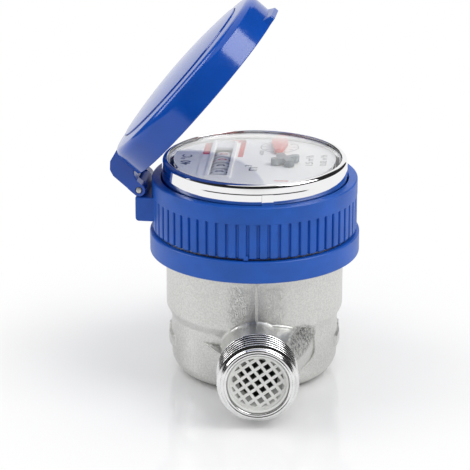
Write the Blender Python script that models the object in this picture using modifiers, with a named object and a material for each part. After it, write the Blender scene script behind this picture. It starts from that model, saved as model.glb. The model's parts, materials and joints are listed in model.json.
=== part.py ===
"""Dry dial water meter, size DN15, with a cast body, a sealed register and a hinged lid.

The inlet faces -Y, the outlet +Y and the floor is at z = 0. Sizes are named in millimetres at the top
and reach Blender in metres. The head (collar, band, lid and register) turns on the body, and the lid
stands open.
"""

import math

import bmesh
import bpy
from mathutils import Matrix, Vector

MM = 0.001
CLEARANCE = 0.3
ROUND = 36
FINE_ROUND = 48
PORT_ROUND = 28
SMALL_ROUND = 10

# Body casting. The radii of the head and the register follow from the body's
BODY_UPPER_R = 29.6
BODY_LOWER_R = BODY_UPPER_R - 1.7
BODY_FILLET_R = 7.0
BODY_STEP_LOW_Z = 20.3
BODY_STEP_HEIGHT = 3.3
BODY_STEP_HIGH_Z = BODY_STEP_LOW_Z + BODY_STEP_HEIGHT
FLANGE_R = BODY_UPPER_R + 3.0
FLANGE_LOW_Z = 47.0
FLANGE_HEIGHT = 3.2
FLANGE_TOP_Z = FLANGE_LOW_Z + FLANGE_HEIGHT
NECK_R = FLANGE_R - 0.3
NECK_HEIGHT = 6.8
NECK_TOP_Z = FLANGE_TOP_Z + NECK_HEIGHT
BODY_WALL = 4.1
CAVITY_R = BODY_UPPER_R - BODY_WALL
CHAMBER_LEDGE = 5.5
CHAMBER_R = CAVITY_R - CHAMBER_LEDGE
CHAMBER_FLOOR_Z = 5.0
CHAMBER_TOP_Z = 28.0

# Ports, both alike: threaded end, neck and a boss that swings over to the jet
PORT_Z = 15.5
PORT_REACH = 25.4
PORT_HALF_LENGTH = BODY_UPPER_R + PORT_REACH
THREAD_MAJOR_R = 13.22
THREAD_MINOR_R = THREAD_MAJOR_R - 1.16
THREAD_PITCH = 1.814
THREAD_TURNS = 5
THREAD_START = 1.0
END_FACE_R = THREAD_MINOR_R - 0.16
PORT_NECK_R = THREAD_MINOR_R - 0.66
PORT_NECK_LENGTH = 17.0
MOUTH_R = END_FACE_R - 1.9
MOUTH_DEPTH = 7.0
BORE_R = MOUTH_R - 2.3
BOSS_START = 2.5
BOSS_SHIFT_X = 0.233 * BODY_LOWER_R
BOSS_HALF_WIDTH = BODY_LOWER_R / 1.8
BOSS_HALF_HEIGHT = 8.6
BOSS_END_Y = 0.502 * BODY_LOWER_R
JET_R = 4.0
JET_INSET = 6.5
JET_X = CHAMBER_R - JET_INSET
JET_END_Y = 0.55 * CHAMBER_R
GUSSET_THICK = 3.4
GUSSET_RISE = 1.9
GUSSET_ROOT_X = 0.627 * BODY_LOWER_R
GUSSET_ROOT_Y = 0.717 * BODY_LOWER_R
GUSSET_TIP_X = PORT_NECK_R - 1.8
GUSSET_INNER_X = PORT_NECK_R - 5.4
GUSSET_TIP_GAP = 3.5
SEAM_WIDTH = 0.7
SEAM_RELIEF = 0.5
SEAM_GAP = 0.6
ARROW_RELIEF = 0.8
ARROW_LENGTH = 17.0
ARROW_HEIGHT = 8.0
ARROW_Z = PORT_Z - 3.5

# Strainer
STRAINER_GRID_R = MOUTH_R - 1.25
STRAINER_THICK = 1.2
STRAINER_SET_BACK = 2.1
STRAINER_DEPTH = MOUTH_DEPTH - 1.0
STRAINER_PITCH = 2.75
STRAINER_HOLE = 2.0
STRAINER_TURN = math.radians(35)

# Chamber cover
SEAL_THICK = 1.5
SEAL_WIDTH = 3.2
SEAL_Z = CHAMBER_TOP_Z + CLEARANCE
PLATE_Z = SEAL_Z + SEAL_THICK + CLEARANCE
PLATE_THICK = 4.0
PLATE_RECESS_DEPTH = 1.9

# Rotor
PIVOT_R = 1.0
PIVOT_BOSS_R = 3.0
PIVOT_BOSS_HEIGHT = 2.4
PIVOT_SHORT = 2.5
IMPELLER_Z = CHAMBER_FLOOR_Z + CLEARANCE + PIVOT_BOSS_HEIGHT + CLEARANCE
IMPELLER_R = CHAMBER_R - 3.0
IMPELLER_HUB_R = 3.2
IMPELLER_VANES = 7
VANE_THICK = 1.4
VANE_RISE = 1.0
VANE_SHORT = 9.0
VANE_HEIGHT = CHAMBER_TOP_Z - CHAMBER_FLOOR_Z - VANE_SHORT
MAGNET_R = 6.0
MAGNET_HEIGHT = 3.6
ROTOR_HEADROOM = 2.4
IMPELLER_HUB_HEIGHT = PLATE_Z + PLATE_RECESS_DEPTH - ROTOR_HEADROOM - MAGNET_HEIGHT - IMPELLER_Z

# Band and collar
BAND_WALL = 2.05
BAND_R = FLANGE_R + CLEARANCE + BAND_WALL
BAND_SKIRT = 4.65
BAND_LOW_Z = FLANGE_LOW_Z - BAND_SKIRT
BAND_TOP_Z = FLANGE_TOP_Z - 0.5
COLLAR_WALL = 1.46
COLLAR_R = NECK_R + CLEARANCE + COLLAR_WALL
COLLAR_LOW_Z = FLANGE_TOP_Z + CLEARANCE
RIB_HEIGHT = 11.7
RIM_HEIGHT = 5.7
RIB_TOP_Z = COLLAR_LOW_Z + RIB_HEIGHT
COLLAR_TOP_Z = RIB_TOP_Z + RIM_HEIGHT
COLLAR_RIM_RELIEF = 0.1
COLLAR_RIBS = 62
RIB_DEPTH = 0.6
RIB_SHARE = 0.72
RIB_SHOULDER = 0.06
BRIDGE_WIDTH = 1.6
BRIDGE_HEIGHT = 0.45
BRIDGE_ANGLE = math.radians(-88)
EDGE = 0.4

# Lid, measured closed
LID_OPEN = math.radians(49.5)
LID_R = COLLAR_R + 0.34
LID_WALL = 1.8
LID_LOW_Z = COLLAR_TOP_Z + CLEARANCE
LID_HEIGHT = 10.4
LID_SHOULDER_Z = LID_LOW_Z + LID_HEIGHT
LID_SHOULDER_R = 2.4
LID_INNER_CORNER = 1.6
LID_RISE = 3.0
LID_GROOVE_R = LID_R - 3.1
LID_GROOVE = 0.5
LID_LIP_REACH = 1.8
LID_LIP_HALF_WIDTH = 7.5
LID_LIP_THICK = 1.8

# Hinge, in the frame of the head with the hinge at -X
HEAD_TURN = math.radians(-8)
HINGE_X = -LID_R - 3.1
HINGE_Z = COLLAR_TOP_Z - 3.8
HINGE_HALF_WIDTH = 9.3
KNUCKLE_R = 2.2
KNUCKLE_HALF_WIDTH = 5.0
PIN_R = 1.0
PIN_CLEARANCE = 0.2
BLOCK_LOW_Z = COLLAR_LOW_Z + 2.8
BLOCK_TOP_Z = HINGE_Z - KNUCKLE_R - CLEARANCE
BLOCK_OUT_X = HINGE_X - 1.3
BLOCK_CORNER = 1.0
ARM_OUT = 2.1
ARM_THICK = 4.6

# Register capsule
DIAL_TURN = math.radians(-5)
GASKET_THICK = 1.0
GASKET_Z = NECK_TOP_Z + CLEARANCE
CAN_Z = PLATE_Z + PLATE_THICK + CLEARANCE
CAN_R = CAVITY_R - 0.7
CAN_WALL = 1.5
CAN_FLOOR = 2.0
CAN_FLANGE_R = NECK_R - 0.1
CAN_FLANGE_Z = GASKET_Z + GASKET_THICK + CLEARANCE
CAN_FLANGE_THICK = 1.8
CAN_STEP_Z = CAN_FLANGE_Z + CAN_FLANGE_THICK
BEZEL_FOOT_R = NECK_R
BEZEL_FOOT_THICK = 1.2
BEZEL_Z = CAN_STEP_Z + 0.4
COLLAR_SHOULDER_Z = BEZEL_Z + BEZEL_FOOT_THICK + CLEARANCE
COLLAR_LIP_R = BEZEL_FOOT_R - 1.1
BEZEL_R = COLLAR_LIP_R - 0.4
BEZEL_WALL = 0.9
CRYSTAL_R = BEZEL_R - BEZEL_WALL - CLEARANCE
BEZEL_LIP_R = CRYSTAL_R - 0.7
CAN_UPPER_R = CRYSTAL_R - 0.8
CAN_UPPER_WALL = 1.4
DIAL_R = CAN_UPPER_R - 0.5
DIAL_THICK = 0.7

# Movement, in the frame of the dial. Its places across the dial follow from the module
MOVEMENT_PLATE_R = CAN_UPPER_R - CAN_UPPER_WALL - CLEARANCE
MOVEMENT_PLATE_THICK = 1.2
MODULE = MOVEMENT_PLATE_R / 54.2
PINION_TEETH = 8
STAR_TEETH = 32
WHEEL_TEETH = 24
GEAR_THICK = 0.8
PINION_THICK = 1.4
SHAFT_R = 0.7
SHAFT_HOLE_R = 1.0
SHAFT_END = 1.1
STAR_DIRECTION = math.radians(0)
FIRST_DIRECTION = math.radians(70)
SECOND_DIRECTION = math.radians(25.6)
POINTER_DIRECTION = math.radians(109.9)
MOVEMENT_Z = CAN_STEP_Z + CLEARANCE
MOVEMENT_TOP_Z = MOVEMENT_Z + MOVEMENT_PLATE_THICK
STAR_GEAR_Z = MOVEMENT_TOP_Z + 1.0
FIRST_GEAR_Z = STAR_GEAR_Z + GEAR_THICK + 0.6
SECOND_GEAR_Z = FIRST_GEAR_Z + GEAR_THICK + 0.5
POINTER_GEAR_Z = SECOND_GEAR_Z + GEAR_THICK + 0.5
DIAL_UNDER_Z = POINTER_GEAR_Z + GEAR_THICK + SHAFT_END + 1.9
DIAL_Z = DIAL_UNDER_Z + DIAL_THICK
POST_R = 1.3
POST_RING_R = MOVEMENT_PLATE_R - 2.8
POST_ANGLES = (-62, 8, 100)
FOLLOWER_R = 5.5
FOLLOWER_HEIGHT = 3.0
STAR_LOBE_R = 1.7
STAR_LOBE_REACH = 3.3
STAR_THICK = 1.9
POINTER_HUB_R = 2.7
POINTER_TIP_R = 1.1
POINTER_REACH = 6.0
POINTER_THICK = 1.1
DRUMS = 5
DRUM_R = 6.0
DRUM_PITCH = 12.8 * MODULE
DRUM_WIDTH = DRUM_PITCH - 0.4
DRUM_ROW_X = -22.2 * MODULE
DRUM_ROW_Y = 0.4 * MODULE
DRUM_Z = DIAL_UNDER_Z - CLEARANCE - DRUM_R
DRUM_AXLE_R = 0.8
WINDOW_HALF_WIDTH = 3.0

# Crystal and bezel over the dial
CRYSTAL_RISE = 3.5
CRYSTAL_THICK = 1.6
CRYSTAL_RIM_Z = DIAL_Z + 2.5
BEZEL_SHOULDER_Z = DIAL_Z
BEZEL_TOP_Z = CRYSTAL_RIM_Z + 0.6
BEZEL_CORNER_R = 1.2
LUG_ANGLE = math.radians(-78.5)
LUG_WIDTH = 4.0
LUG_RELIEF = 0.7

PART = bpy.data.collections.new("water_meter")
CUTTERS = bpy.data.collections.new("water_meter_cutters")
PAINTS = {}


def clear_scene():
    for obj in list(bpy.data.objects):
        bpy.data.objects.remove(obj, do_unlink=True)
    bpy.context.scene.collection.children.link(PART)
    bpy.context.scene.collection.children.link(CUTTERS)


def paint(name, colour, roughness, metallic=0.0, transmission=0.0):
    """One Principled material, made the first time that it is asked for."""
    if name not in PAINTS:
        made = bpy.data.materials.new(name)
        made.use_nodes = True
        made.diffuse_color = (*colour, 1.0)
        shader = made.node_tree.nodes["Principled BSDF"]
        shader.inputs["Base Color"].default_value = (*colour, 1.0)
        shader.inputs["Roughness"].default_value = roughness
        shader.inputs["Metallic"].default_value = metallic
        shader.inputs["Transmission Weight"].default_value = transmission
        PAINTS[name] = made
    return PAINTS[name]


def steel():
    return paint("cast_stainless", (0.55, 0.55, 0.53), 0.45, 1.0)


def pin_steel():
    return paint("pin_steel", (0.6, 0.6, 0.6), 0.25, 1.0)


def blue():
    return paint("blue_plastic", (0.02, 0.08, 0.42), 0.3)


def white():
    return paint("white_plastic", (0.8, 0.8, 0.78), 0.4)


def movement_plastic():
    return paint("movement_plastic", (0.35, 0.33, 0.28), 0.4)


def red():
    return paint("red_plastic", (0.6, 0.04, 0.04), 0.35)


def rubber():
    return paint("black_rubber", (0.02, 0.02, 0.02), 0.7)


def chrome():
    return paint("chrome", (0.8, 0.8, 0.8), 0.08, 1.0)


def clear():
    return paint("crystal", (0.95, 0.97, 0.97), 0.02, 0.0, 1.0)


def object_from(bm, name):
    mesh = bpy.data.meshes.new(name)
    bmesh.ops.recalc_face_normals(bm, faces=bm.faces)
    bm.to_mesh(mesh)
    bm.free()
    return bpy.data.objects.new(name, mesh)


def as_part(obj, material, parent=None):
    """Links a finished piece, which becomes a node of its own."""
    obj.data.materials.append(material)
    PART.objects.link(obj)
    obj.parent = parent
    return obj


def as_helper(obj, parent=None):
    """Links a shape that only takes part in a Boolean."""
    obj.hide_render = True
    obj.display_type = "WIRE"
    CUTTERS.objects.link(obj)
    obj.parent = parent
    return obj


def combine(obj, other, operation):
    as_helper(other, obj.parent)
    step = obj.modifiers.new(other.name, "BOOLEAN")
    step.operation = operation
    step.solver = "EXACT"
    step.object = other
    return obj


def add(obj, other):
    return combine(obj, other, "UNION")


def cut(obj, other):
    return combine(obj, other, "DIFFERENCE")


def empty(name, place, turn=0.0, parent=None, axis="Z"):
    made = bpy.data.objects.new(name, None)
    made.empty_display_size = 5 * MM
    made.matrix_local = Matrix.Translation(Vector(place) * MM) @ Matrix.Rotation(turn, 4, axis)
    PART.objects.link(made)
    made.parent = parent
    return made


def arc(centre, radius, start, end, steps):
    """Points on an arc in the plane of a profile, from one angle in degrees to another."""
    points = []
    for step in range(steps + 1):
        angle = math.radians(start + (end - start) * step / steps)
        points.append((centre[0] + radius * math.cos(angle), centre[1] + radius * math.sin(angle)))
    return points


def turned(name, profile, steps=ROUND, closed=False):
    """A profile of (radius, height) points swept once round Z. It runs down its outer side."""
    bm = bmesh.new()
    verts = [bm.verts.new((radius * MM, 0.0, height * MM)) for radius, height in profile]
    for first, second in zip(verts, verts[1:]):
        bm.edges.new((first, second))
    if closed:
        bm.edges.new((verts[-1], verts[0]))
    mesh = bpy.data.meshes.new(name)
    bm.to_mesh(mesh)
    bm.free()
    obj = bpy.data.objects.new(name, mesh)
    screw = obj.modifiers.new("turn", "SCREW")
    screw.steps = steps
    screw.render_steps = steps
    screw.use_merge_vertices = True
    screw.merge_threshold = 0.00001
    screw.use_smooth_shade = True
    return obj


def ring(name, inner, outer, low, high, edge=0.0, steps=ROUND):
    """A flat ring, with its two outer edges taken off by edge."""
    profile = [(inner, low), (inner, high), (outer - edge, high)]
    if edge:
        profile += [(outer, high - edge), (outer, low + edge)]
    else:
        profile += [(outer, high)]
    profile += [(outer - edge, low)] if edge else [(outer, low)]
    return turned(name, profile, steps, closed=True)


def cylinder(name, radius, low, high, place=(0.0, 0.0), steps=32):
    """A round bar along Z."""
    bm = bmesh.new()
    middle = Matrix.Translation(Vector((place[0], place[1], (low + high) / 2)) * MM)
    bmesh.ops.create_cone(
        bm,
        cap_ends=True,
        segments=steps,
        radius1=radius * MM,
        radius2=radius * MM,
        depth=(high - low) * MM,
        matrix=middle,
    )
    return object_from(bm, name)


def bar_along_y(name, radius, low, high, x, z, steps=32):
    """A round bar along Y."""
    obj = cylinder(name, radius, low, high, steps=steps)
    to_y = Matrix.Translation(Vector((x, 0.0, z)) * MM) @ Matrix.Rotation(-math.pi / 2, 4, "X")
    obj.data.transform(to_y)
    return obj


def block(name, low, high):
    """A box between two corners."""
    bm = bmesh.new()
    bmesh.ops.create_cube(bm, size=1.0)
    obj = object_from(bm, name)
    low = Vector(low) * MM
    high = Vector(high) * MM
    obj.data.transform(Matrix.Translation((low + high) / 2) @ Matrix.Diagonal((*(high - low), 1.0)))
    return obj


def prism(name, outline, low, high):
    """A flat outline of (x, y) points raised along Z."""
    bm = bmesh.new()
    base = bm.faces.new([bm.verts.new((x * MM, y * MM, low * MM)) for x, y in outline])
    raised = bmesh.ops.extrude_face_region(bm, geom=[base])
    moved = [item for item in raised["geom"] if isinstance(item, bmesh.types.BMVert)]
    bmesh.ops.translate(bm, verts=moved, vec=(0.0, 0.0, (high - low) * MM))
    return object_from(bm, name)


def prism_along_y(name, outline, low, high):
    """A flat outline of (x, z) points raised along Y."""
    obj = prism(name, [(x, -z) for x, z in outline], low, high)
    obj.data.transform(Matrix.Rotation(-math.pi / 2, 4, "X"))
    return obj


def hull(name, points):
    """The convex solid round a cloud of points."""
    bm = bmesh.new()
    for point in points:
        bm.verts.new(Vector(point) * MM)
    made = bmesh.ops.convex_hull(bm, input=bm.verts)
    inner = [item for item in made["geom_interior"] if isinstance(item, bmesh.types.BMVert)]
    bmesh.ops.delete(bm, geom=inner, context="VERTS")
    return object_from(bm, name)


def oval(centre_x, y, centre_z, half_width, half_height, steps):
    """Points on an upright oval that faces along Y."""
    points = []
    for step in range(steps):
        angle = 2 * math.pi * step / steps
        x = centre_x + half_width * math.cos(angle)
        z = centre_z + half_height * math.sin(angle)
        points.append((x, y, z))
    return points


def thread_profile():
    """Port radii against the distance from its end, down the outer side, ending inside the body."""
    profile = [(END_FACE_R, 0.0), (THREAD_MINOR_R, THREAD_START - 0.1)]
    for turn in range(THREAD_TURNS):
        start = THREAD_START + turn * THREAD_PITCH
        profile.append((THREAD_MINOR_R, start + 0.12 * THREAD_PITCH))
        profile.append((THREAD_MAJOR_R, start + 0.5 * THREAD_PITCH))
        profile.append((THREAD_MINOR_R, start + 0.88 * THREAD_PITCH))
    profile.append((PORT_NECK_R, THREAD_START + (THREAD_TURNS + 0.5) * THREAD_PITCH))
    profile.append((PORT_NECK_R, PORT_HALF_LENGTH - BODY_LOWER_R - 0.1))
    return profile


def port_frame(side):
    """Places a solid turned round Z, with its end at z = 0 and its body below, on one port."""
    turn = Matrix.Rotation(-side * math.pi / 2, 4, "X")
    return Matrix.Translation(Vector((0.0, side * PORT_HALF_LENGTH, PORT_Z)) * MM) @ turn


def add_port(body, side):
    """Threaded end, neck, swept boss and gusset of one port."""
    name = "inlet" if side < 0 else "outlet"
    profile = [(radius, -depth) for radius, depth in thread_profile()]
    deepest = profile[-1][1]
    end = turned(name + "_thread", [(0.0, 0.0), *profile, (0.0, deepest)], steps=PORT_ROUND)
    end.matrix_local = port_frame(side)
    add(body, end)

    near = side * (PORT_HALF_LENGTH - PORT_NECK_LENGTH)
    far = side * BOSS_END_Y
    start = near + side * BOSS_START
    boss = oval(0.0, start, PORT_Z, PORT_NECK_R - 0.5, PORT_NECK_R - 0.5, PORT_ROUND)
    boss += oval(BOSS_SHIFT_X, far, PORT_Z, BOSS_HALF_WIDTH, BOSS_HALF_HEIGHT, PORT_ROUND)
    add(body, hull(name + "_boss", boss))

    top = PORT_Z + GUSSET_RISE
    root = side * GUSSET_ROOT_Y
    tip = near - side * GUSSET_TIP_GAP
    web = [(-GUSSET_ROOT_X, root), (-GUSSET_TIP_X, tip), (-GUSSET_INNER_X, tip), (-GUSSET_INNER_X, root)]
    add(body, prism(name + "_gusset", web, top - GUSSET_THICK, top))


def cut_port(body, side):
    """Mouth, bore and the jet duct that opens into the chamber off its middle."""
    name = "inlet" if side < 0 else "outlet"
    end = side * PORT_HALF_LENGTH
    reach = abs(end) + 2.0
    depth = PORT_HALF_LENGTH - PORT_NECK_LENGTH
    mouth = sorted((side * reach, side * (PORT_HALF_LENGTH - MOUTH_DEPTH)))
    cut(body, bar_along_y(name + "_mouth", MOUTH_R, mouth[0], mouth[1], 0.0, PORT_Z, PORT_ROUND))
    bore = sorted((side * reach, side * (depth - 1.0)))
    cut(body, bar_along_y(name + "_bore", BORE_R, bore[0], bore[1], 0.0, PORT_Z, 24))
    jet = oval(0.0, side * (depth + 1.0), PORT_Z, BORE_R - 0.2, BORE_R - 0.2, 20)
    jet += oval(JET_X, side * JET_END_Y, PORT_Z + 0.5, JET_R, JET_R, 20)
    cut(body, hull(name + "_jet", jet))


def add_flow_arrow(body, side):
    """Raised arrow that shows the direction of flow, following the round of the body."""
    name = "arrow_east" if side > 0 else "arrow_west"
    half = ARROW_LENGTH / 2
    tall = ARROW_HEIGHT / 2
    head = half - ARROW_HEIGHT * 0.8
    outline = [(-half, -tall / 2), (head, -tall / 2), (head, -tall), (half, 0.0)]
    outline += [(head, tall), (head, tall / 2), (-half, tall / 2)]
    arrow = prism(name, outline, 0.0, 8.0)
    upright = Matrix(((0, 0, side, 0), (1, 0, 0, 0), (0, 1, 0, 0), (0, 0, 0, 1)))
    start = Vector((side * (BODY_LOWER_R - 5.0), 0.0, ARROW_Z)) * MM
    arrow.data.transform(Matrix.Translation(start) @ upright)
    if side < 0:
        arrow.data.flip_normals()
    skin = cylinder(name + "_skin", BODY_LOWER_R + ARROW_RELIEF, 2.0, BODY_STEP_LOW_Z, steps=ROUND)
    combine(arrow, skin, "INTERSECT")
    add(body, arrow)


def make_body():
    lower = arc((BODY_LOWER_R - BODY_FILLET_R, BODY_FILLET_R), BODY_FILLET_R, 0, -90, 5)
    profile = [
        (0.0, NECK_TOP_Z),
        (NECK_R, NECK_TOP_Z),
        (NECK_R, FLANGE_TOP_Z),
        (FLANGE_R, FLANGE_TOP_Z),
        (FLANGE_R, FLANGE_LOW_Z),
        (BODY_UPPER_R, FLANGE_LOW_Z),
        (BODY_UPPER_R, BODY_STEP_HIGH_Z),
        (BODY_LOWER_R, BODY_STEP_LOW_Z),
        *lower,
        (0.0, 0.0),
    ]
    body = turned("meter_body", profile)
    for side in (-1, 1):
        add_port(body, side)
        add_flow_arrow(body, side)
        top = BAND_LOW_Z - SEAM_GAP
        near = side * (BODY_UPPER_R - 1.0)
        far = side * (BODY_UPPER_R + SEAM_RELIEF)
        corners = sorted((near, far))
        half = SEAM_WIDTH / 2
        seam = block(
            "seam_%s" % ("front" if side < 0 else "back"),
            (-half, corners[0], BODY_STEP_HIGH_Z),
            (half, corners[1], top),
        )
        add(body, seam)
    inside = [
        (0.0, NECK_TOP_Z + 1.0),
        (CAVITY_R, NECK_TOP_Z + 1.0),
        (CAVITY_R, CHAMBER_TOP_Z),
        (CHAMBER_R, CHAMBER_TOP_Z),
        (CHAMBER_R, CHAMBER_FLOOR_Z),
        (0.0, CHAMBER_FLOOR_Z),
    ]
    cut(body, turned("body_inside", inside))
    for side in (-1, 1):
        cut_port(body, side)
    return as_part(body, steel())


def make_strainer():
    """Cup with a square grid, set back in the inlet mouth. It is built upright and laid into the port."""
    outer = MOUTH_R - CLEARANCE
    inner = STRAINER_GRID_R
    back = -STRAINER_SET_BACK
    deep = back - STRAINER_DEPTH + STRAINER_SET_BACK
    profile = [
        (0.0, back),
        (inner, back),
        (inner, -0.4),
        (outer - 0.3, -0.4),
        (outer, -0.7),
        (outer, deep),
        (BORE_R, deep),
        (BORE_R, back - STRAINER_THICK),
        (0.0, back - STRAINER_THICK),
    ]
    cup = turned("inlet_strainer", profile, steps=PORT_ROUND)
    cup.matrix_local = port_frame(-1)
    count = int(STRAINER_GRID_R / STRAINER_PITCH) + 1
    size = Vector((STRAINER_HOLE, STRAINER_HOLE, STRAINER_THICK + 2.0)) * MM
    bm = bmesh.new()
    for column in range(-count, count + 1):
        for row in range(-count, count + 1):
            x = column * STRAINER_PITCH
            y = row * STRAINER_PITCH
            if math.hypot(x, y) + STRAINER_HOLE * 0.6 > BORE_R:
                continue
            middle = Vector((x, y, back - STRAINER_THICK / 2)) * MM
            place = Matrix.Translation(middle) @ Matrix.Diagonal((*size, 1.0))
            bmesh.ops.create_cube(bm, size=1.0, matrix=place)
    holes = object_from(bm, "strainer_holes")
    holes.matrix_local = port_frame(-1) @ Matrix.Rotation(STRAINER_TURN, 4, "Z")
    cut(cup, holes)
    return as_part(cup, white())


def make_pivot():
    low = CHAMBER_FLOOR_Z + CLEARANCE
    top = IMPELLER_Z + IMPELLER_HUB_HEIGHT - PIVOT_SHORT
    profile = [
        (0.0, top),
        (PIVOT_R - 0.3, top),
        (PIVOT_R, top - 0.5),
        (PIVOT_R, low + PIVOT_BOSS_HEIGHT),
        (PIVOT_BOSS_R, low + PIVOT_BOSS_HEIGHT),
        (PIVOT_BOSS_R, low),
        (0.0, low),
    ]
    return as_part(turned("chamber_pivot", profile, steps=16), pin_steel())


def make_impeller():
    """Hub, vanes and magnet housing in one moulding, with a blind bore for the pivot."""
    low = IMPELLER_Z
    top = low + IMPELLER_HUB_HEIGHT
    profile = [
        (0.0, top + MAGNET_HEIGHT),
        (MAGNET_R - 0.5, top + MAGNET_HEIGHT),
        (MAGNET_R, top + MAGNET_HEIGHT - 0.5),
        (MAGNET_R, top),
        (IMPELLER_HUB_R, top - 1.5),
        (IMPELLER_HUB_R, low),
        (0.0, low),
    ]
    impeller = turned("impeller", profile, steps=24)
    half = VANE_THICK / 2
    for vane in range(IMPELLER_VANES):
        blade = block(
            "vane_%d" % (vane + 1),
            (IMPELLER_HUB_R - 1.2, -half, low + VANE_RISE),
            (IMPELLER_R, half, low + VANE_RISE + VANE_HEIGHT),
        )
        blade.matrix_local = Matrix.Rotation(2 * math.pi * vane / IMPELLER_VANES, 4, "Z")
        add(impeller, blade)
    bore_top = top - PIVOT_SHORT + CLEARANCE
    cut(impeller, cylinder("impeller_bore", PIVOT_R + CLEARANCE, low - 1.0, bore_top, steps=24))
    return as_part(impeller, white())


def make_chamber_cover():
    outer = CAVITY_R - CLEARANCE
    seal = ring("plate_seal", outer - SEAL_WIDTH, outer, SEAL_Z, SEAL_Z + SEAL_THICK)
    as_part(seal, rubber())
    recess = PLATE_Z + PLATE_RECESS_DEPTH
    profile = [
        (0.0, PLATE_Z + PLATE_THICK),
        (outer - EDGE, PLATE_Z + PLATE_THICK),
        (outer, PLATE_Z + PLATE_THICK - EDGE),
        (outer, PLATE_Z),
        (outer - SEAL_WIDTH - CLEARANCE, PLATE_Z),
        (MAGNET_R + 1.0, PLATE_Z),
        (MAGNET_R + 1.0, recess),
        (0.0, recess),
    ]
    as_part(turned("pressure_plate", profile), white())


def make_band(head):
    """Plain band: its inward lip hooks under the flange of the body."""
    profile = [
        (BODY_UPPER_R + CLEARANCE, BAND_LOW_Z),
        (BODY_UPPER_R + CLEARANCE, FLANGE_LOW_Z - CLEARANCE),
        (FLANGE_R + CLEARANCE, FLANGE_LOW_Z - CLEARANCE),
        (FLANGE_R + CLEARANCE, BAND_TOP_Z),
        (BAND_R - EDGE, BAND_TOP_Z),
        (BAND_R, BAND_TOP_Z - EDGE),
        (BAND_R, BAND_LOW_Z + EDGE),
        (BAND_R - EDGE, BAND_LOW_Z),
    ]
    as_part(turned("lock_band", profile, FINE_ROUND, closed=True), blue(), head)


def rib_outline():
    """Outline of the ribbed part of the collar: a flat land and a flat groove for each rib."""
    points = []
    step = 2 * math.pi / COLLAR_RIBS
    root = COLLAR_R - RIB_DEPTH
    for rib in range(COLLAR_RIBS):
        start = rib * step
        land = start + RIB_SHARE * step
        shoulder = RIB_SHOULDER * step
        points.append((COLLAR_R * math.cos(start), COLLAR_R * math.sin(start)))
        points.append((COLLAR_R * math.cos(land), COLLAR_R * math.sin(land)))
        points.append((root * math.cos(land + shoulder), root * math.sin(land + shoulder)))
        finish = start + step - shoulder
        points.append((root * math.cos(finish), root * math.sin(finish)))
    return points


def make_collar(head):
    """Ribbed collar with the block and knuckle of the hinge, and the stub of a tear-off bridge."""
    collar = prism("collar", rib_outline(), COLLAR_LOW_Z, RIB_TOP_Z + 0.2)
    rim_r = COLLAR_R + COLLAR_RIM_RELIEF
    rim = [
        (0.0, COLLAR_TOP_Z),
        (rim_r - EDGE, COLLAR_TOP_Z),
        (rim_r, COLLAR_TOP_Z - EDGE),
        (rim_r, RIB_TOP_Z),
        (0.0, RIB_TOP_Z),
    ]
    collar.parent = head
    add(collar, turned("collar_rim", rim, FINE_ROUND))
    root = -COLLAR_R + COLLAR_WALL + 0.14
    foot = [
        (root, BLOCK_LOW_Z),
        (BLOCK_OUT_X + BLOCK_CORNER, BLOCK_LOW_Z),
        (BLOCK_OUT_X, BLOCK_LOW_Z + BLOCK_CORNER),
        (BLOCK_OUT_X, BLOCK_TOP_Z),
        (root, BLOCK_TOP_Z),
    ]
    add(collar, prism_along_y("hinge_block", foot, -HINGE_HALF_WIDTH, HINGE_HALF_WIDTH))
    knuckle = []
    for y in (-KNUCKLE_HALF_WIDTH, KNUCKLE_HALF_WIDTH):
        knuckle += oval(HINGE_X, 0.0, HINGE_Z, KNUCKLE_R, KNUCKLE_R, 28)
        knuckle[-28:] = [(x, y, z) for x, _, z in knuckle[-28:]]
        knuckle += [(BLOCK_OUT_X + 0.2, y, BLOCK_TOP_Z - 0.5), (HINGE_X + KNUCKLE_R, y, BLOCK_TOP_Z - 0.5)]
    add(collar, hull("hinge_knuckle", knuckle))
    half = BRIDGE_WIDTH / 2
    bridge = block(
        "bridge",
        (COLLAR_R - RIB_DEPTH - 0.9, -half, COLLAR_LOW_Z - BRIDGE_HEIGHT),
        (COLLAR_R - 0.1, half, COLLAR_LOW_Z + 1.0),
    )
    bridge.matrix_local = Matrix.Rotation(BRIDGE_ANGLE, 4, "Z")
    add(collar, bridge)
    opening = [
        (0.0, COLLAR_TOP_Z + 1.0),
        (COLLAR_LIP_R, COLLAR_TOP_Z + 1.0),
        (COLLAR_LIP_R, COLLAR_SHOULDER_Z),
        (NECK_R + CLEARANCE, COLLAR_SHOULDER_Z),
        (NECK_R + CLEARANCE, COLLAR_LOW_Z - 1.0),
        (0.0, COLLAR_LOW_Z - 1.0),
    ]
    cut(collar, turned("collar_opening", opening, FINE_ROUND))
    hole = HINGE_HALF_WIDTH + 1.0
    bore = bar_along_y("collar_pin_hole", PIN_R + PIN_CLEARANCE, -hole, hole, HINGE_X, HINGE_Z, 24)
    cut(collar, bore)
    return as_part(collar, blue(), head)


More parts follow.
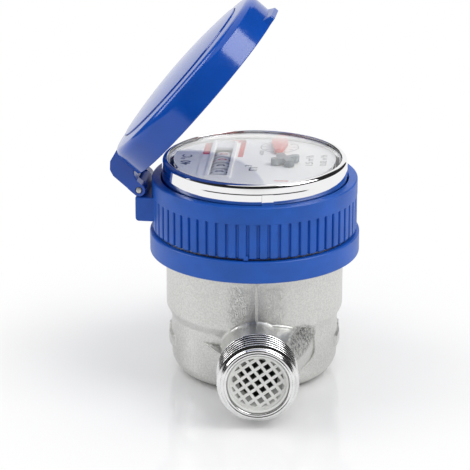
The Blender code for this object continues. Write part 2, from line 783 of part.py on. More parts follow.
def lid_profile():
    """Closed lid, from its inside middle round the rim to its outside middle and back."""
    shoulder = (LID_R - LID_SHOULDER_R, LID_SHOULDER_Z - LID_SHOULDER_R)
    groove = LID_GROOVE_R - LID_GROOVE / 2
    dome = (groove * groove + LID_RISE * LID_RISE) / (2 * LID_RISE)
    outside = []
    for step in range(4):
        radius = groove * step / 4
        outside.append((radius, LID_SHOULDER_Z + LID_RISE - dome + math.sqrt(dome * dome - radius * radius)))
    outside.append((groove, LID_SHOULDER_Z))
    outside.append((groove + 0.1, LID_SHOULDER_Z - LID_GROOVE))
    outside.append((groove + LID_GROOVE, LID_SHOULDER_Z - LID_GROOVE))
    outside.append((groove + LID_GROOVE + 0.1, LID_SHOULDER_Z))
    outside += arc(shoulder, LID_SHOULDER_R, 85, 0, 3)
    outside += [(LID_R, LID_LOW_Z + EDGE), (LID_R - EDGE, LID_LOW_Z)]
    inner = LID_R - LID_WALL
    roof = LID_SHOULDER_Z - LID_WALL
    corner = inner - LID_INNER_CORNER
    inside = [(inner, LID_LOW_Z), (inner, roof - LID_INNER_CORNER), (corner, roof)]
    for step in range(3):
        radius = corner * (2 - step) / 3
        rise = LID_RISE * (1 - (radius / inner) ** 2)
        inside.append((radius, roof + rise))
    return outside + inside


def make_lid(hinge):
    """Domed lid, built closed round the hinge pin. The hinge empty turns it open."""
    lid = turned("lid", lid_profile(), FINE_ROUND)
    lid.data.transform(Matrix.Translation(Vector((-HINGE_X, 0.0, -HINGE_Z)) * MM))
    lid.modifiers["turn"].object = empty("lid_middle", (-HINGE_X, 0.0, 0.0), 0.0, hinge)
    lid.parent = hinge
    low = LID_LOW_Z - HINGE_Z
    roof = LID_SHOULDER_Z - HINGE_Z
    rim = -LID_R - HINGE_X
    under = KNUCKLE_R + CLEARANCE
    outline = [
        (-ARM_OUT, under),
        (-ARM_OUT, roof - 5.0),
        (-ARM_OUT + 0.9, roof - 2.8),
        (-ARM_OUT + 3.2, roof - 1.0),
        (rim + 2.6, roof - 0.1),
        (rim + 2.6, low + 3.0),
        (rim - 0.4, low + 0.1),
        (-ARM_OUT + ARM_THICK - 0.4, under),
    ]
    add(lid, prism_along_y("lid_arm", outline, -HINGE_HALF_WIDTH, HINGE_HALF_WIDTH))
    for side in (-1, 1):
        near = side * (KNUCKLE_HALF_WIDTH + CLEARANCE)
        ear = []
        for y in (near, side * HINGE_HALF_WIDTH):
            ear += [(x, y, z) for x, _, z in oval(0.0, 0.0, 0.0, ARM_OUT, ARM_OUT, 28)]
            ear += [(-ARM_OUT, y, under + 0.6), (ARM_OUT, y, under + 0.6)]
        add(lid, hull("lid_ear_%s" % ("near" if side < 0 else "far"), ear))
    lip = []
    for y in (-LID_LIP_HALF_WIDTH, LID_LIP_HALF_WIDTH):
        tip = y * 0.72
        base = LID_R - 1.4 - HINGE_X
        lip += [(base, y, low), (base, y, low + LID_LIP_THICK + 1.6)]
        out = LID_R + LID_LIP_REACH - HINGE_X
        lip += [(out, tip, low + 0.3), (out, tip, low + LID_LIP_THICK)]
    add(lid, hull("lid_thumb_lip", lip))
    inside = [
        (0.0, LID_SHOULDER_Z - LID_WALL - LID_INNER_CORNER - 0.1),
        (LID_R - LID_WALL, LID_SHOULDER_Z - LID_WALL - LID_INNER_CORNER - 0.1),
        (LID_R - LID_WALL, LID_LOW_Z - 1.0),
        (0.0, LID_LOW_Z - 1.0),
    ]
    clear_space = turned("lid_inside", inside, FINE_ROUND)
    clear_space.matrix_local = Matrix.Translation(Vector((-HINGE_X, 0.0, -HINGE_Z)) * MM)
    cut(lid, clear_space)
    reach = HINGE_HALF_WIDTH + 1.0
    cut(lid, bar_along_y("lid_pin_hole", PIN_R + PIN_CLEARANCE, -reach, reach, 0.0, 0.0, 24))
    return as_part(lid, blue(), hinge)


def make_hinge_pin(head):
    half = HINGE_HALF_WIDTH + 0.3
    as_part(bar_along_y("hinge_pin", PIN_R, -half, half, HINGE_X, HINGE_Z, 24), pin_steel(), head)


def make_capsule(dial):
    """Gasket, can, dial, crystal and bezel of the sealed register."""
    gasket = ring("capsule_gasket", CAVITY_R + 0.5, NECK_R - 0.8, GASKET_Z, GASKET_Z + GASKET_THICK)
    as_part(gasket, rubber(), dial)

    inner = CAN_R - CAN_WALL
    upper = CAN_UPPER_R - CAN_UPPER_WALL
    top = DIAL_UNDER_Z - CLEARANCE
    floor = CAN_Z + CAN_FLOOR
    pin_top = floor + CLEARANCE + FOLLOWER_HEIGHT * 0.6
    profile = [
        (0.0, pin_top),
        (SHAFT_R, pin_top),
        (SHAFT_R, floor),
        (inner, floor),
        (inner, CAN_STEP_Z),
        (upper, CAN_STEP_Z),
        (upper, top),
        (CAN_UPPER_R, top),
        (CAN_UPPER_R, CAN_STEP_Z),
        (CAN_FLANGE_R, CAN_STEP_Z),
        (CAN_FLANGE_R, CAN_FLANGE_Z),
        (CAN_R, CAN_FLANGE_Z),
        (CAN_R, CAN_Z + 1.0),
        (CAN_R - 1.0, CAN_Z),
        (0.0, CAN_Z),
    ]
    as_part(turned("register_can", profile), white(), dial)

    rim_low = DIAL_Z + CLEARANCE
    rim_top = CRYSTAL_RIM_Z - CLEARANCE
    edge = BEZEL_LIP_R - CLEARANCE
    sphere = (edge * edge + CRYSTAL_RISE * CRYSTAL_RISE) / (2 * CRYSTAL_RISE)
    middle = CRYSTAL_RIM_Z + CRYSTAL_RISE - sphere
    crystal_profile = []
    for step in range(5):
        radius = edge * step / 4
        crystal_profile.append((radius, middle + math.sqrt(sphere * sphere - radius * radius)))
    crystal_profile += [(edge, rim_top), (CRYSTAL_R, rim_top), (CRYSTAL_R, rim_low), (edge - 1.0, rim_low)]
    hollow = sphere - CRYSTAL_THICK
    for step in range(4):
        radius = (edge - 2.0) * (3 - step) / 3
        crystal_profile.append((radius, middle + math.sqrt(hollow * hollow - radius * radius)))
    as_part(turned("crystal", crystal_profile, ROUND), clear(), dial)

    wall = BEZEL_R - BEZEL_WALL
    bezel_profile = [
        (wall, BEZEL_Z),
        (wall, CRYSTAL_RIM_Z),
        (BEZEL_LIP_R, CRYSTAL_RIM_Z),
        (BEZEL_LIP_R, BEZEL_TOP_Z - 0.2),
        (BEZEL_LIP_R + 0.3, BEZEL_TOP_Z),
        *arc((BEZEL_R - BEZEL_CORNER_R, BEZEL_TOP_Z - BEZEL_CORNER_R - 0.3), BEZEL_CORNER_R, 75, 0, 3),
        (BEZEL_R - 0.05, BEZEL_SHOULDER_Z),
        (BEZEL_R, BEZEL_SHOULDER_Z - 0.3),
        (BEZEL_R, BEZEL_Z + BEZEL_FOOT_THICK),
        (BEZEL_FOOT_R, BEZEL_Z + BEZEL_FOOT_THICK),
        (BEZEL_FOOT_R, BEZEL_Z),
    ]
    bezel = turned("bezel_ring", bezel_profile, FINE_ROUND, closed=True)
    bezel.parent = dial
    half = LUG_WIDTH / 2
    lug = block(
        "bezel_lug",
        (BEZEL_R - 0.5, -half, COLLAR_TOP_Z + CLEARANCE),
        (BEZEL_R + LUG_RELIEF, half, BEZEL_SHOULDER_Z),
    )
    lug.matrix_local = Matrix.Rotation(LUG_ANGLE, 4, "Z")
    add(bezel, lug)
    as_part(bezel, chrome(), dial)


def reach(direction, teeth, start=(0.0, 0.0)):
    """Place of a wheel that meshes with a pinion at start."""
    distance = MODULE * (PINION_TEETH + teeth) / 2
    return (start[0] + distance * math.cos(direction), start[1] + distance * math.sin(direction))


def star_place():
    return reach(STAR_DIRECTION, STAR_TEETH)


def first_place():
    return reach(FIRST_DIRECTION, WHEEL_TEETH)


def second_place():
    return reach(SECOND_DIRECTION, WHEEL_TEETH, first_place())


def pointer_place():
    return reach(POINTER_DIRECTION, WHEEL_TEETH, second_place())


def gear_outline(teeth, start):
    """Pointed teeth, slim enough to run free. One tooth points along start."""
    pitch_r = MODULE * teeth / 2
    tip = pitch_r + 0.8 * MODULE
    root = pitch_r - 1.1 * MODULE
    points = []
    for tooth in range(teeth):
        middle = start + 2 * math.pi * tooth / teeth
        root_half = 0.66 * MODULE / root
        points.append((root * math.cos(middle - root_half), root * math.sin(middle - root_half)))
        points.append((tip * math.cos(middle), tip * math.sin(middle)))
        points.append((root * math.cos(middle + root_half), root * math.sin(middle + root_half)))
    return points


def start_in_mesh(direction, driver_start, teeth):
    """Start angle of a wheel that lies in this direction from its driver, so that their teeth interleave."""
    driver_step = 2 * math.pi / PINION_TEETH
    share = ((direction - driver_start) / driver_step) % 1.0
    return direction + math.pi + (share + 0.5) * 2 * math.pi / teeth


def make_shaft(name, place, low, high, material, dial):
    """A shaft on its own empty, which stands on the wheel's axis."""
    axis = empty(name + "_axis", (*place, 0.0), 0.0, dial)
    shaft = cylinder(name, SHAFT_R, low, high, steps=SMALL_ROUND)
    shaft.parent = axis
    return as_part(shaft, material, axis)


def make_follower(dial):
    """Driven magnet with its long pinion, in the can under the movement."""
    low = CAN_Z + CAN_FLOOR + CLEARANCE
    top = FIRST_GEAR_Z + GEAR_THICK + 0.8
    profile = [
        (0.0, top),
        (SHAFT_R, top),
        (SHAFT_R, low + FOLLOWER_HEIGHT + 1.0),
        (2.0, low + FOLLOWER_HEIGHT),
        (FOLLOWER_R, low + FOLLOWER_HEIGHT),
        (FOLLOWER_R, low),
        (0.0, low),
    ]
    follower = turned("magnet_follower", profile, steps=20)
    follower.parent = dial
    start = STAR_GEAR_Z - 0.3
    teeth = prism("follower_pinion", gear_outline(PINION_TEETH, STAR_DIRECTION), start, top - 0.3)
    add(follower, teeth)
    hole = low + FOLLOWER_HEIGHT * 0.6 + CLEARANCE
    cut(follower, cylinder("follower_hole", SHAFT_HOLE_R, low - 0.5, hole, steps=12))
    as_part(follower, paint("magnet", (0.1, 0.1, 0.11), 0.5), dial)


def make_star(dial):
    """Flow star above the dial, on the same shaft as its gear below."""
    low = MOVEMENT_TOP_Z - MOVEMENT_PLATE_THICK + 0.2
    star_low = DIAL_Z + CLEARANCE
    star = make_shaft("flow_star", star_place(), low, star_low + 0.5, movement_plastic(), dial)
    wheel = gear_outline(STAR_TEETH, start_in_mesh(STAR_DIRECTION, STAR_DIRECTION, STAR_TEETH))
    add(star, prism("star_gear", wheel, STAR_GEAR_Z, STAR_GEAR_Z + GEAR_THICK))
    add(star, cylinder("star_hub", STAR_LOBE_R * 1.35, star_low, star_low + STAR_THICK, steps=16))
    for lobe in range(4):
        angle = math.pi / 2 * lobe + math.radians(28)
        place = (STAR_LOBE_REACH * math.cos(angle), STAR_LOBE_REACH * math.sin(angle))
        name = "star_lobe_%d" % (lobe + 1)
        add(star, cylinder(name, STAR_LOBE_R, star_low, star_low + STAR_THICK, place, steps=14))


def make_wheel(name, place, start, pinion_start, gear_z, dial, top):
    """A wheel with the pinion that drives the next one."""
    low = MOVEMENT_TOP_Z - MOVEMENT_PLATE_THICK + 0.2
    wheel = make_shaft(name, place, low, top, movement_plastic(), dial)
    teeth = gear_outline(WHEEL_TEETH, start)
    add(wheel, prism(name + "_teeth", teeth, gear_z, gear_z + GEAR_THICK))
    pinion = gear_outline(PINION_TEETH, pinion_start)
    foot = gear_z + GEAR_THICK - 0.1
    add(wheel, prism(name + "_pinion", pinion, foot, foot + PINION_THICK))


def make_train(dial):
    """Reduction from the follower's pinion to the litre pointer."""
    first_top = SECOND_GEAR_Z + GEAR_THICK + SHAFT_END
    second_top = POINTER_GEAR_Z + GEAR_THICK + SHAFT_END
    start = start_in_mesh(FIRST_DIRECTION, STAR_DIRECTION, WHEEL_TEETH)
    make_wheel("first_gear", first_place(), start, SECOND_DIRECTION, FIRST_GEAR_Z, dial, first_top)
    start = start_in_mesh(SECOND_DIRECTION, SECOND_DIRECTION, WHEEL_TEETH)
    make_wheel("second_gear", second_place(), start, POINTER_DIRECTION, SECOND_GEAR_Z, dial, second_top)

    low = MOVEMENT_TOP_Z - MOVEMENT_PLATE_THICK + 0.2
    pointer_low = DIAL_Z + CLEARANCE
    top = pointer_low + 0.3
    pointer = make_shaft("pointer_gear", pointer_place(), low, top - 0.2, movement_plastic(), dial)
    start = start_in_mesh(POINTER_DIRECTION, POINTER_DIRECTION, WHEEL_TEETH)
    teeth = gear_outline(WHEEL_TEETH, start)
    add(pointer, prism("pointer_gear_teeth", teeth, POINTER_GEAR_Z, POINTER_GEAR_Z + GEAR_THICK))

    body = []
    for level in (pointer_low + CLEARANCE, pointer_low + CLEARANCE + POINTER_THICK):
        for step in range(20):
            angle = 2 * math.pi * step / 20
            x = POINTER_HUB_R * math.cos(angle)
            y = POINTER_HUB_R * math.sin(angle)
            body.append((x, y, level))
            x = POINTER_TIP_R * math.cos(angle)
            y = POINTER_TIP_R * math.sin(angle) - POINTER_REACH
            body.append((x, y, level))
    arrow = hull("litre_pointer", body)
    arrow.parent = pointer.parent
    as_part(arrow, red(), pointer.parent)


def make_movement_plate(dial):
    """Lower plate with posts for the dial, bearings for the shafts and cheeks for the drum axle."""
    top = MOVEMENT_TOP_Z
    plate = cylinder("movement_plate", MOVEMENT_PLATE_R, MOVEMENT_Z, top, steps=ROUND)
    plate.parent = dial
    post_top = DIAL_UNDER_Z - CLEARANCE
    for index, degrees in enumerate(POST_ANGLES):
        angle = math.radians(degrees)
        place = (POST_RING_R * math.cos(angle), POST_RING_R * math.sin(angle))
        add(plate, cylinder("dial_post_%d" % (index + 1), POST_R, top - 0.5, post_top, place, steps=12))
    row = DRUMS * DRUM_PITCH / 2
    half = DRUM_R + 0.6
    slot = block(
        "drum_slot",
        (DRUM_ROW_X - half, DRUM_ROW_Y - row - 0.3, MOVEMENT_Z - 1.0),
        (DRUM_ROW_X + half, DRUM_ROW_Y + row + 0.3, top + 1.0),
    )
    cut(plate, slot)
    for side in (-1, 1):
        inner = DRUM_ROW_Y + side * (row + 0.3)
        outer = inner + side * 1.2
        edges = sorted((inner, outer))
        cheek = [
            (DRUM_ROW_X - 3.0, top - 0.5),
            (DRUM_ROW_X + 3.0, top - 0.5),
            (DRUM_ROW_X + 2.2, DRUM_Z + 2.2),
            (DRUM_ROW_X - 2.2, DRUM_Z + 2.2),
        ]
        name = "drum_cheek_near" if side < 0 else "drum_cheek_far"
        add(plate, prism_along_y(name, cheek, edges[0], edges[1]))
    low = DRUM_ROW_Y - row - 3.0
    high = DRUM_ROW_Y + row + 3.0
    cut(plate, bar_along_y("axle_hole", DRUM_AXLE_R + CLEARANCE, low, high, DRUM_ROW_X, DRUM_Z, 16))
    places = ((0.0, 0.0), star_place(), first_place(), second_place(), pointer_place())
    for index, place in enumerate(places):
        name = "bearing_%d" % (index + 1)
        cut(plate, cylinder(name, SHAFT_HOLE_R, MOVEMENT_Z - 1.0, top + 1.0, place, steps=12))
    as_part(plate, movement_plastic(), dial)


def make_dial(dial):
    """Plate with the counter window and the holes of the star and pointer shafts."""
    plate = cylinder("dial_plate", DIAL_R, DIAL_UNDER_Z, DIAL_Z, steps=FINE_ROUND)
    plate.parent = dial
    row = DRUMS * DRUM_PITCH / 2
    window = block(
        "counter_window",
        (DRUM_ROW_X - WINDOW_HALF_WIDTH, DRUM_ROW_Y - row, DIAL_UNDER_Z - 1.0),
        (DRUM_ROW_X + WINDOW_HALF_WIDTH, DRUM_ROW_Y + row, DIAL_Z + 1.0),
    )
    cut(plate, window)
    for name, place in (("star_hole", star_place()), ("pointer_hole", pointer_place())):
        cut(plate, cylinder(name, SHAFT_HOLE_R, DIAL_UNDER_Z - 1.0, DIAL_Z + 1.0, place, steps=12))
    as_part(plate, paint("dial_white", (0.85, 0.85, 0.83), 0.4), dial)


def make_drums(dial):
    """Five number drums on one axle, each on its own empty on the axle's line."""
    row = DRUMS * DRUM_PITCH / 2
    ends = (DRUM_ROW_Y - row - 1.3, DRUM_ROW_Y + row + 1.3)
    axle = bar_along_y("drum_axle", DRUM_AXLE_R, ends[0], ends[1], DRUM_ROW_X, DRUM_Z, 16)
    as_part(axle, pin_steel(), dial)
    for index in range(DRUMS):
        y = DRUM_ROW_Y - row + (index + 0.5) * DRUM_PITCH
        axis = empty("drum_%d_axis" % (index + 1), (DRUM_ROW_X, y, DRUM_Z), 0.0, dial)
        name = "digit_drum_%d" % (index + 1)
        half = DRUM_WIDTH / 2
        inner = DRUM_AXLE_R + CLEARANCE
        drum = ring(name, inner, DRUM_R, -half, half, steps=22)
        drum.matrix_local = Matrix.Rotation(math.pi / 2, 4, "X")
        as_part(drum, paint("drum_white", (0.8, 0.8, 0.78), 0.4), axis)


def main():
    clear_scene()
    make_body()
    make_strainer()
    make_pivot()
    make_impeller()
    make_chamber_cover()
    head = empty("head_turn", (0.0, 0.0, 0.0), HEAD_TURN)
    make_band(head)
    make_collar(head)
    hinge = empty("lid_hinge", (HINGE_X, 0.0, HINGE_Z), -LID_OPEN, head, "Y")
    make_lid(hinge)
    make_hinge_pin(head)
    dial = empty("dial_turn", (0.0, 0.0, 0.0), DIAL_TURN)
    make_capsule(dial)
    make_movement_plate(dial)
    make_follower(dial)
    make_star(dial)
    make_train(dial)
    make_drums(dial)
    make_dial(dial)


main()
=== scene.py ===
"""Water meter with its blue lid open. Laid out as a Blender add-on, run as a script.

Profiles and outlines are in millimetres, with the Z axis through the middle of the body
and the water running from the inlet at -Y to the outlet at +Y.
"""

import json
import math

import bmesh
import bpy
from mathutils import Matrix, Vector


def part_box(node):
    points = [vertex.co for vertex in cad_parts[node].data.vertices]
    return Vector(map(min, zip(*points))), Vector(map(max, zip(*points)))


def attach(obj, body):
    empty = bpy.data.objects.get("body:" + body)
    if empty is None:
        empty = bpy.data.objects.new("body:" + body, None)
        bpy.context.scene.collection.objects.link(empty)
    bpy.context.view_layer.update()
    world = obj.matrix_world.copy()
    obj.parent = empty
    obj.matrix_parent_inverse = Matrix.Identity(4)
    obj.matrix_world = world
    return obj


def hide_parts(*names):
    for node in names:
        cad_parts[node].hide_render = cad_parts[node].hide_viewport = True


bl_info = {
    "name": "Water Meter",
    "version": (1, 0, 0),
    "blender": (4, 5, 0),
    "location": "3D View > Sidebar > Water Meter",
    "description": "Builds the finished pieces of a water meter round its packed model",
    "category": "Object",
}

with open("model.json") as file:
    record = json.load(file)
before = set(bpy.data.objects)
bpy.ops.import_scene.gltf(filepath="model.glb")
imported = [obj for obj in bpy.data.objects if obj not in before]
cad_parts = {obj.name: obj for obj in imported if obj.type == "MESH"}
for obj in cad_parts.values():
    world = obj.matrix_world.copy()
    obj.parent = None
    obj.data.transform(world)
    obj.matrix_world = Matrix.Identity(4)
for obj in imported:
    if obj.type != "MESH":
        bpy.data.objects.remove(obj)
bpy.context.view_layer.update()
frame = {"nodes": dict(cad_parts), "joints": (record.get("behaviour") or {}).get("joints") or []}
MM = 0.001
PER_METRE = 1000.0
GAP = 0.3  # clearance in millimetres between neighbouring pieces


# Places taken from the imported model.

JOINTS = {joint["name"]: joint for joint in frame["joints"]}


def joint_place(name):
    return Vector(JOINTS[name]["pos_m"]) / MM


def joint_turn(name):
    """How far a joint axis is turned about Z, for a joint that lies along -Y unturned."""
    axis = JOINTS[name]["axis"]
    return math.atan2(axis[0], -axis[1])


def low(node):
    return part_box(node)[0].z / MM


def high(node):
    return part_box(node)[1].z / MM


def widest(node):
    """Largest distance of a node from the Z axis."""
    return max(point.co.xy.length for point in frame["nodes"][node].data.vertices) / MM


HEAD_TURN = joint_turn("lid_hinge")
DIAL_TURN = joint_turn("drum_1_spin")
LID_OPEN = math.radians(-JOINTS["lid_hinge"]["range_deg"][0])
HINGE = Matrix.Rotation(-HEAD_TURN, 3, "Z") @ joint_place("lid_hinge")


def dial_point(name):
    """Place of a joint on the dial, before the dial is turned."""
    return Matrix.Rotation(-DIAL_TURN, 3, "Z") @ joint_place(name)


INTO_HEAD = Matrix.Rotation(HEAD_TURN, 4, "Z")
INTO_DIAL = Matrix.Rotation(DIAL_TURN, 4, "Z")

PORT_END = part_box("meter_body")[1].y / MM
PORT_Z = (low("inlet_strainer") + high("inlet_strainer")) / 2
NECK_TOP = high("meter_body")
FLANGE_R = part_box("meter_body")[1].x / MM
FLANGE_TOP = NECK_TOP - 6.8
FLANGE_LOW = FLANGE_TOP - 3.2
NECK_R = FLANGE_R - 0.3
CAST_NECK_R = NECK_R - 0.1
CAST_FLANGE_TOP = FLANGE_TOP - 0.15
UPPER_R = FLANGE_R - 3.0
LOWER_R = UPPER_R - 1.7
STEP_LOW = 20.3
STEP_HIGH = 23.6
BOTTOM_FILLET = 7.0
CAVITY_R = UPPER_R - 4.1
CHAMBER_R = CAVITY_R - 5.5
CHAMBER_LOW = 5.0
CHAMBER_TOP = 28.0

MOUTH_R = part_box("inlet_strainer")[1].x / MM + GAP
MOUTH_DEPTH = 7.0
BORE_R = MOUTH_R - 2.3
END_FACE_R = MOUTH_R + 1.9
THREAD_ROOT_R = END_FACE_R + 0.16
PORT_NECK_R = THREAD_ROOT_R - 0.66
THREAD_PIECE = 13.4
THREAD_ROWS = 88
SEAM_THICK = 0.42
BEAD_THICK = 0.52
NECK_START = PORT_END - 17.0

BAND_LOW = low("lock_band")
BAND_TOP = high("lock_band")
BAND_R = widest("lock_band")
COLLAR_TOP = high("collar")
COLLAR_LOW = FLANGE_TOP + GAP
COLLAR_RIM_R = 34.16
COLLAR_R = COLLAR_RIM_R - 0.1
RIM_LOW = COLLAR_TOP - 5.7
COLLAR_BORE_R = NECK_R + GAP
POINTS_PER_RIB = 36

LID_R = COLLAR_R + 0.34
LID_LOW = COLLAR_TOP + GAP
LID_TOP = LID_LOW + 10.4
LID_WALL = 1.8
PIN_R = 1.0
PIN_HOLE_R = 1.2
EAR_R = 2.1
KNUCKLE_R = 2.2
KNUCKLE_HALF = 5.0
HINGE_HALF = 9.3

DIAL_LOW = low("dial_plate")
DIAL_TOP = high("dial_plate")
DIAL_R = widest("dial_plate")
BEZEL_LOW = low("bezel_ring")
BEZEL_TOP = high("bezel_ring")
BEZEL_FOOT_R = widest("bezel_ring")
BEZEL_R = BEZEL_FOOT_R - 1.5
COLLAR_LIP_R = BEZEL_FOOT_R - 1.1
COLLAR_LIP_LOW = BEZEL_LOW + 1.5
CRYSTAL_LOW = low("crystal")
CRYSTAL_TOP = high("crystal")
CRYSTAL_R = widest("crystal")
CRYSTAL_EDGE_R = CRYSTAL_R - 1.0
CRYSTAL_RISE = 3.5
CRYSTAL_THICK = 1.6
DRUM_COUNT = 5
DRUM_R = 6.0
FIRST_DRUM = dial_point("drum_1_spin")
DRUM_PITCH = dial_point("drum_2_spin").y - FIRST_DRUM.y
DRUM_ROW_X = FIRST_DRUM.x
DRUM_ROW_Y = FIRST_DRUM.y + DRUM_PITCH * (DRUM_COUNT - 1) / 2
DRUM_ROW_HALF = DRUM_PITCH * DRUM_COUNT / 2


def srgb(red, green, blue):
    """Linear colour of a screen colour given in 0 to 255."""
    values = []
    for part in (red, green, blue):
        share = part / 255
        values.append(share / 12.92 if share < 0.04045 else ((share + 0.055) / 1.055) ** 2.4)
    return tuple(values)


def length_setting(name, description, millimetres, precision=5):
    return bpy.props.FloatProperty(
        name=name, description=description, default=millimetres * MM, precision=precision,
        unit="LENGTH",
    )


class MeterSizes(bpy.types.PropertyGroup):
    """Sizes that a user would change."""

    rib_count: bpy.props.IntProperty(
        name="Ribs", description="Ribs round the collar", default=62, min=12, max=120
    )
    rib_depth: length_setting("Rib Depth", "Depth of the grooves between the ribs", 0.85)
    rib_share: bpy.props.FloatProperty(
        name="Rib Share", description="Share of the pitch that a rib's flat takes",
        default=0.72, min=0.2, max=0.9, subtype="FACTOR",
    )
    thread_pitch: length_setting("Thread Pitch", "Pitch of the port threads", 1.814, 6)
    thread_height: length_setting("Thread Height", "Height of the port threads", 1.16)
    strainer_hole: length_setting("Strainer Hole", "Side of a square hole in the strainer", 1.8)
    strainer_pitch: length_setting("Strainer Pitch", "Distance between the strainer's holes", 2.75)
    strainer_turn: bpy.props.FloatProperty(
        name="Strainer Turn", description="How far the strainer is turned in its mouth",
        default=math.radians(35), subtype="ANGLE",
    )
    casting_voxel: length_setting("Casting Detail", "Smallest form kept on the casting", 0.44)


def colour_setting(name, description, default):
    return bpy.props.FloatVectorProperty(
        name=name, description=description, default=default, size=3, min=0.0, max=1.0,
        subtype="COLOR",
    )


class MeterColours(bpy.types.PropertyGroup):
    """Colours of the visible finishes."""

    lid: colour_setting("Lid", "Glossy blue of the lid", srgb(12, 76, 174))
    collar: colour_setting("Collar", "Satin blue of the collar and band", srgb(14, 86, 183))
    casting: colour_setting("Casting", "Blasted stainless casting", srgb(226, 226, 223))
    polished: colour_setting("Polished Steel", "Machined port ends", srgb(238, 238, 238))
    plated: colour_setting("Bezel", "Plated bezel ring", srgb(243, 243, 244))
    dial: colour_setting("Dial", "Printed dial plate", srgb(243, 244, 243))
    pointer: colour_setting("Pointer", "Litre pointer and decimal frame", srgb(205, 52, 46))
    print_ink: colour_setting("Print", "Ink of the dial numbers", srgb(58, 62, 70))
    star: colour_setting("Flow Star", "Grey flow star", srgb(104, 114, 120))
    strainer: colour_setting("Strainer", "White inlet strainer", srgb(228, 229, 226))


def sizes():
    return bpy.context.scene.water_meter_sizes


def colours():
    return bpy.context.scene.water_meter_colours


# Node trees.


def signal_first(operation):
    return lambda self, other: self.sum_of(operation, self, other)


def value_first(operation):
    return lambda self, other: self.sum_of(operation, other, self)


class Signal:
    """The value of one socket, with sums on it written as Python."""

    def __init__(self, graph, socket):
        self.graph = graph
        self.socket = socket

    def sum_of(self, operation, *values):
        return self.graph.node("ShaderNodeMath", {"operation": operation}, dict(enumerate(values)))

    __add__, __radd__ = signal_first("ADD"), value_first("ADD")
    __sub__, __rsub__ = signal_first("SUBTRACT"), value_first("SUBTRACT")
    __mul__, __rmul__ = signal_first("MULTIPLY"), value_first("MULTIPLY")
    __truediv__, __rtruediv__ = signal_first("DIVIDE"), value_first("DIVIDE")
    __pow__, __rpow__ = signal_first("POWER"), value_first("POWER")

    def __abs__(self):
        return self.sum_of("ABSOLUTE", self)

    def share(self):
        """Part after the decimal point."""
        return self.sum_of("FRACT", self)

    def rise(self, start, end):
        """0 up to start, 1 from end on, and a smooth step between."""
        values = {0: self, 1: start, 2: end, 3: 0.0, 4: 1.0}
        return self.graph.node("ShaderNodeMapRange", {"interpolation_type": "SMOOTHSTEP"}, values)


class Graph:
    """Adds nodes to a shader tree or a geometry tree."""

    def __init__(self, tree):
        self.tree = tree

    def node(self, kind, settings=None, values=None, output=0):
        """Adds one node: its settings first, then the values or links of its sockets."""
        made = self.tree.nodes.new(kind)
        for name, value in (settings or {}).items():
            setattr(made, name, value)
        for key, value in (values or {}).items():
            if isinstance(value, Signal):
                self.tree.links.new(value.socket, made.inputs[key])
            else:
                made.inputs[key].default_value = value
        return Signal(self, made.outputs[output]) if len(made.outputs) else made

    def other(self, signal, output):
        """Another output of the node that a signal comes from."""
        return Signal(self, signal.socket.node.outputs[output])

    def place(self, stretch=(1.0, 1.0, 1.0)):
        """Place on the object in millimetres, stretched along its axes."""
        point = self.node("ShaderNodeTexCoord", output="Object")
        scale = [PER_METRE * part for part in stretch]
        return self.node("ShaderNodeVectorMath", {"operation": "MULTIPLY"}, {0: point, 1: scale})

    def parts(self, vector):
        first = self.node("ShaderNodeSeparateXYZ", values={0: vector})
        return first, self.other(first, 1), self.other(first, 2)

    def joined(self, x, y, z):
        return self.node("ShaderNodeCombineXYZ", values={0: x, 1: y, 2: z})

    def noise(self, place, scale, detail=2.0, roughness=0.5, distortion=0.0):
        values = {"Vector": place, "Scale": scale, "Detail": detail, "Roughness": roughness}
        values["Distortion"] = distortion
        return self.node("ShaderNodeTexNoise", values=values)

    def blend(self, factor, start, end):
        """Colour that goes from start to end."""
        start = start if isinstance(start, Signal) else (*start, 1.0)
        end = end if isinstance(end, Signal) else (*end, 1.0)
        settings = {"data_type": "RGBA"}
        return self.node("ShaderNodeMix", settings, {0: factor, 6: start, 7: end}, 2)

    def shades(self, factor, colour, dark, light):
        """Colour that goes from one shade of itself to another."""
        return self.blend(factor, shade(colour, dark), shade(colour, light))

    def bump(self, height, depth):
        """Normal of a surface whose height signal stands for this many millimetres."""
        values = {"Strength": 1.0, "Distance": depth * MM, "Height": height}
        return self.node("ShaderNodeBump", values=values)

    def surface(self, tone, roughness, height, depth):
        """What most finishes change over their surface."""
        return {"Base Color": tone, "Roughness": roughness, "Normal": self.bump(height, depth)}


def cleared(owner):
    """Graph on the emptied node tree of a material or world."""
    owner.use_nodes = True
    owner.node_tree.nodes.clear()
    return Graph(owner.node_tree)


def finish_of(name, constants, links):
    """Material with one Principled shader. links(graph) gives what changes over the surface."""
    if name in bpy.data.materials:
        return bpy.data.materials[name]
    made = bpy.data.materials.new(name)
    graph = cleared(made)
    shader = graph.node("ShaderNodeBsdfPrincipled", values={**constants, **links(graph)})
    graph.node("ShaderNodeOutputMaterial", values={"Surface": shader})
    return made


def surface_finish(name, **constants):
    """Makes a function that gives a finish's links into one that gives its material."""
    fixed = {key.replace("_", " "): value for key, value in constants.items()}
    return lambda links: lambda: finish_of(name, fixed, links)


def shade(colour, factor):
    return tuple(min(1.0, part * factor) for part in colour)


# Where the casting's surface changes: starts and ends of each step, in millimetres.
WRINKLES_ACROSS = ((1.5, 3.5), (7.0, 11.0))
WRINKLES_UP = ((25.0, 27.0), (37.0, 41.0))
PATCH_MIDDLE = (14.5, 20.0)
PATCH_HALF = (5.0, 4.2)
PATCH_ALONG = ((-41.0, -37.0), (-22.0, -16.0))


def between(signal, start, end):
    """1 between two steps of a signal, else 0."""
    return signal.rise(*start) * (1.0 - signal.rise(*end))


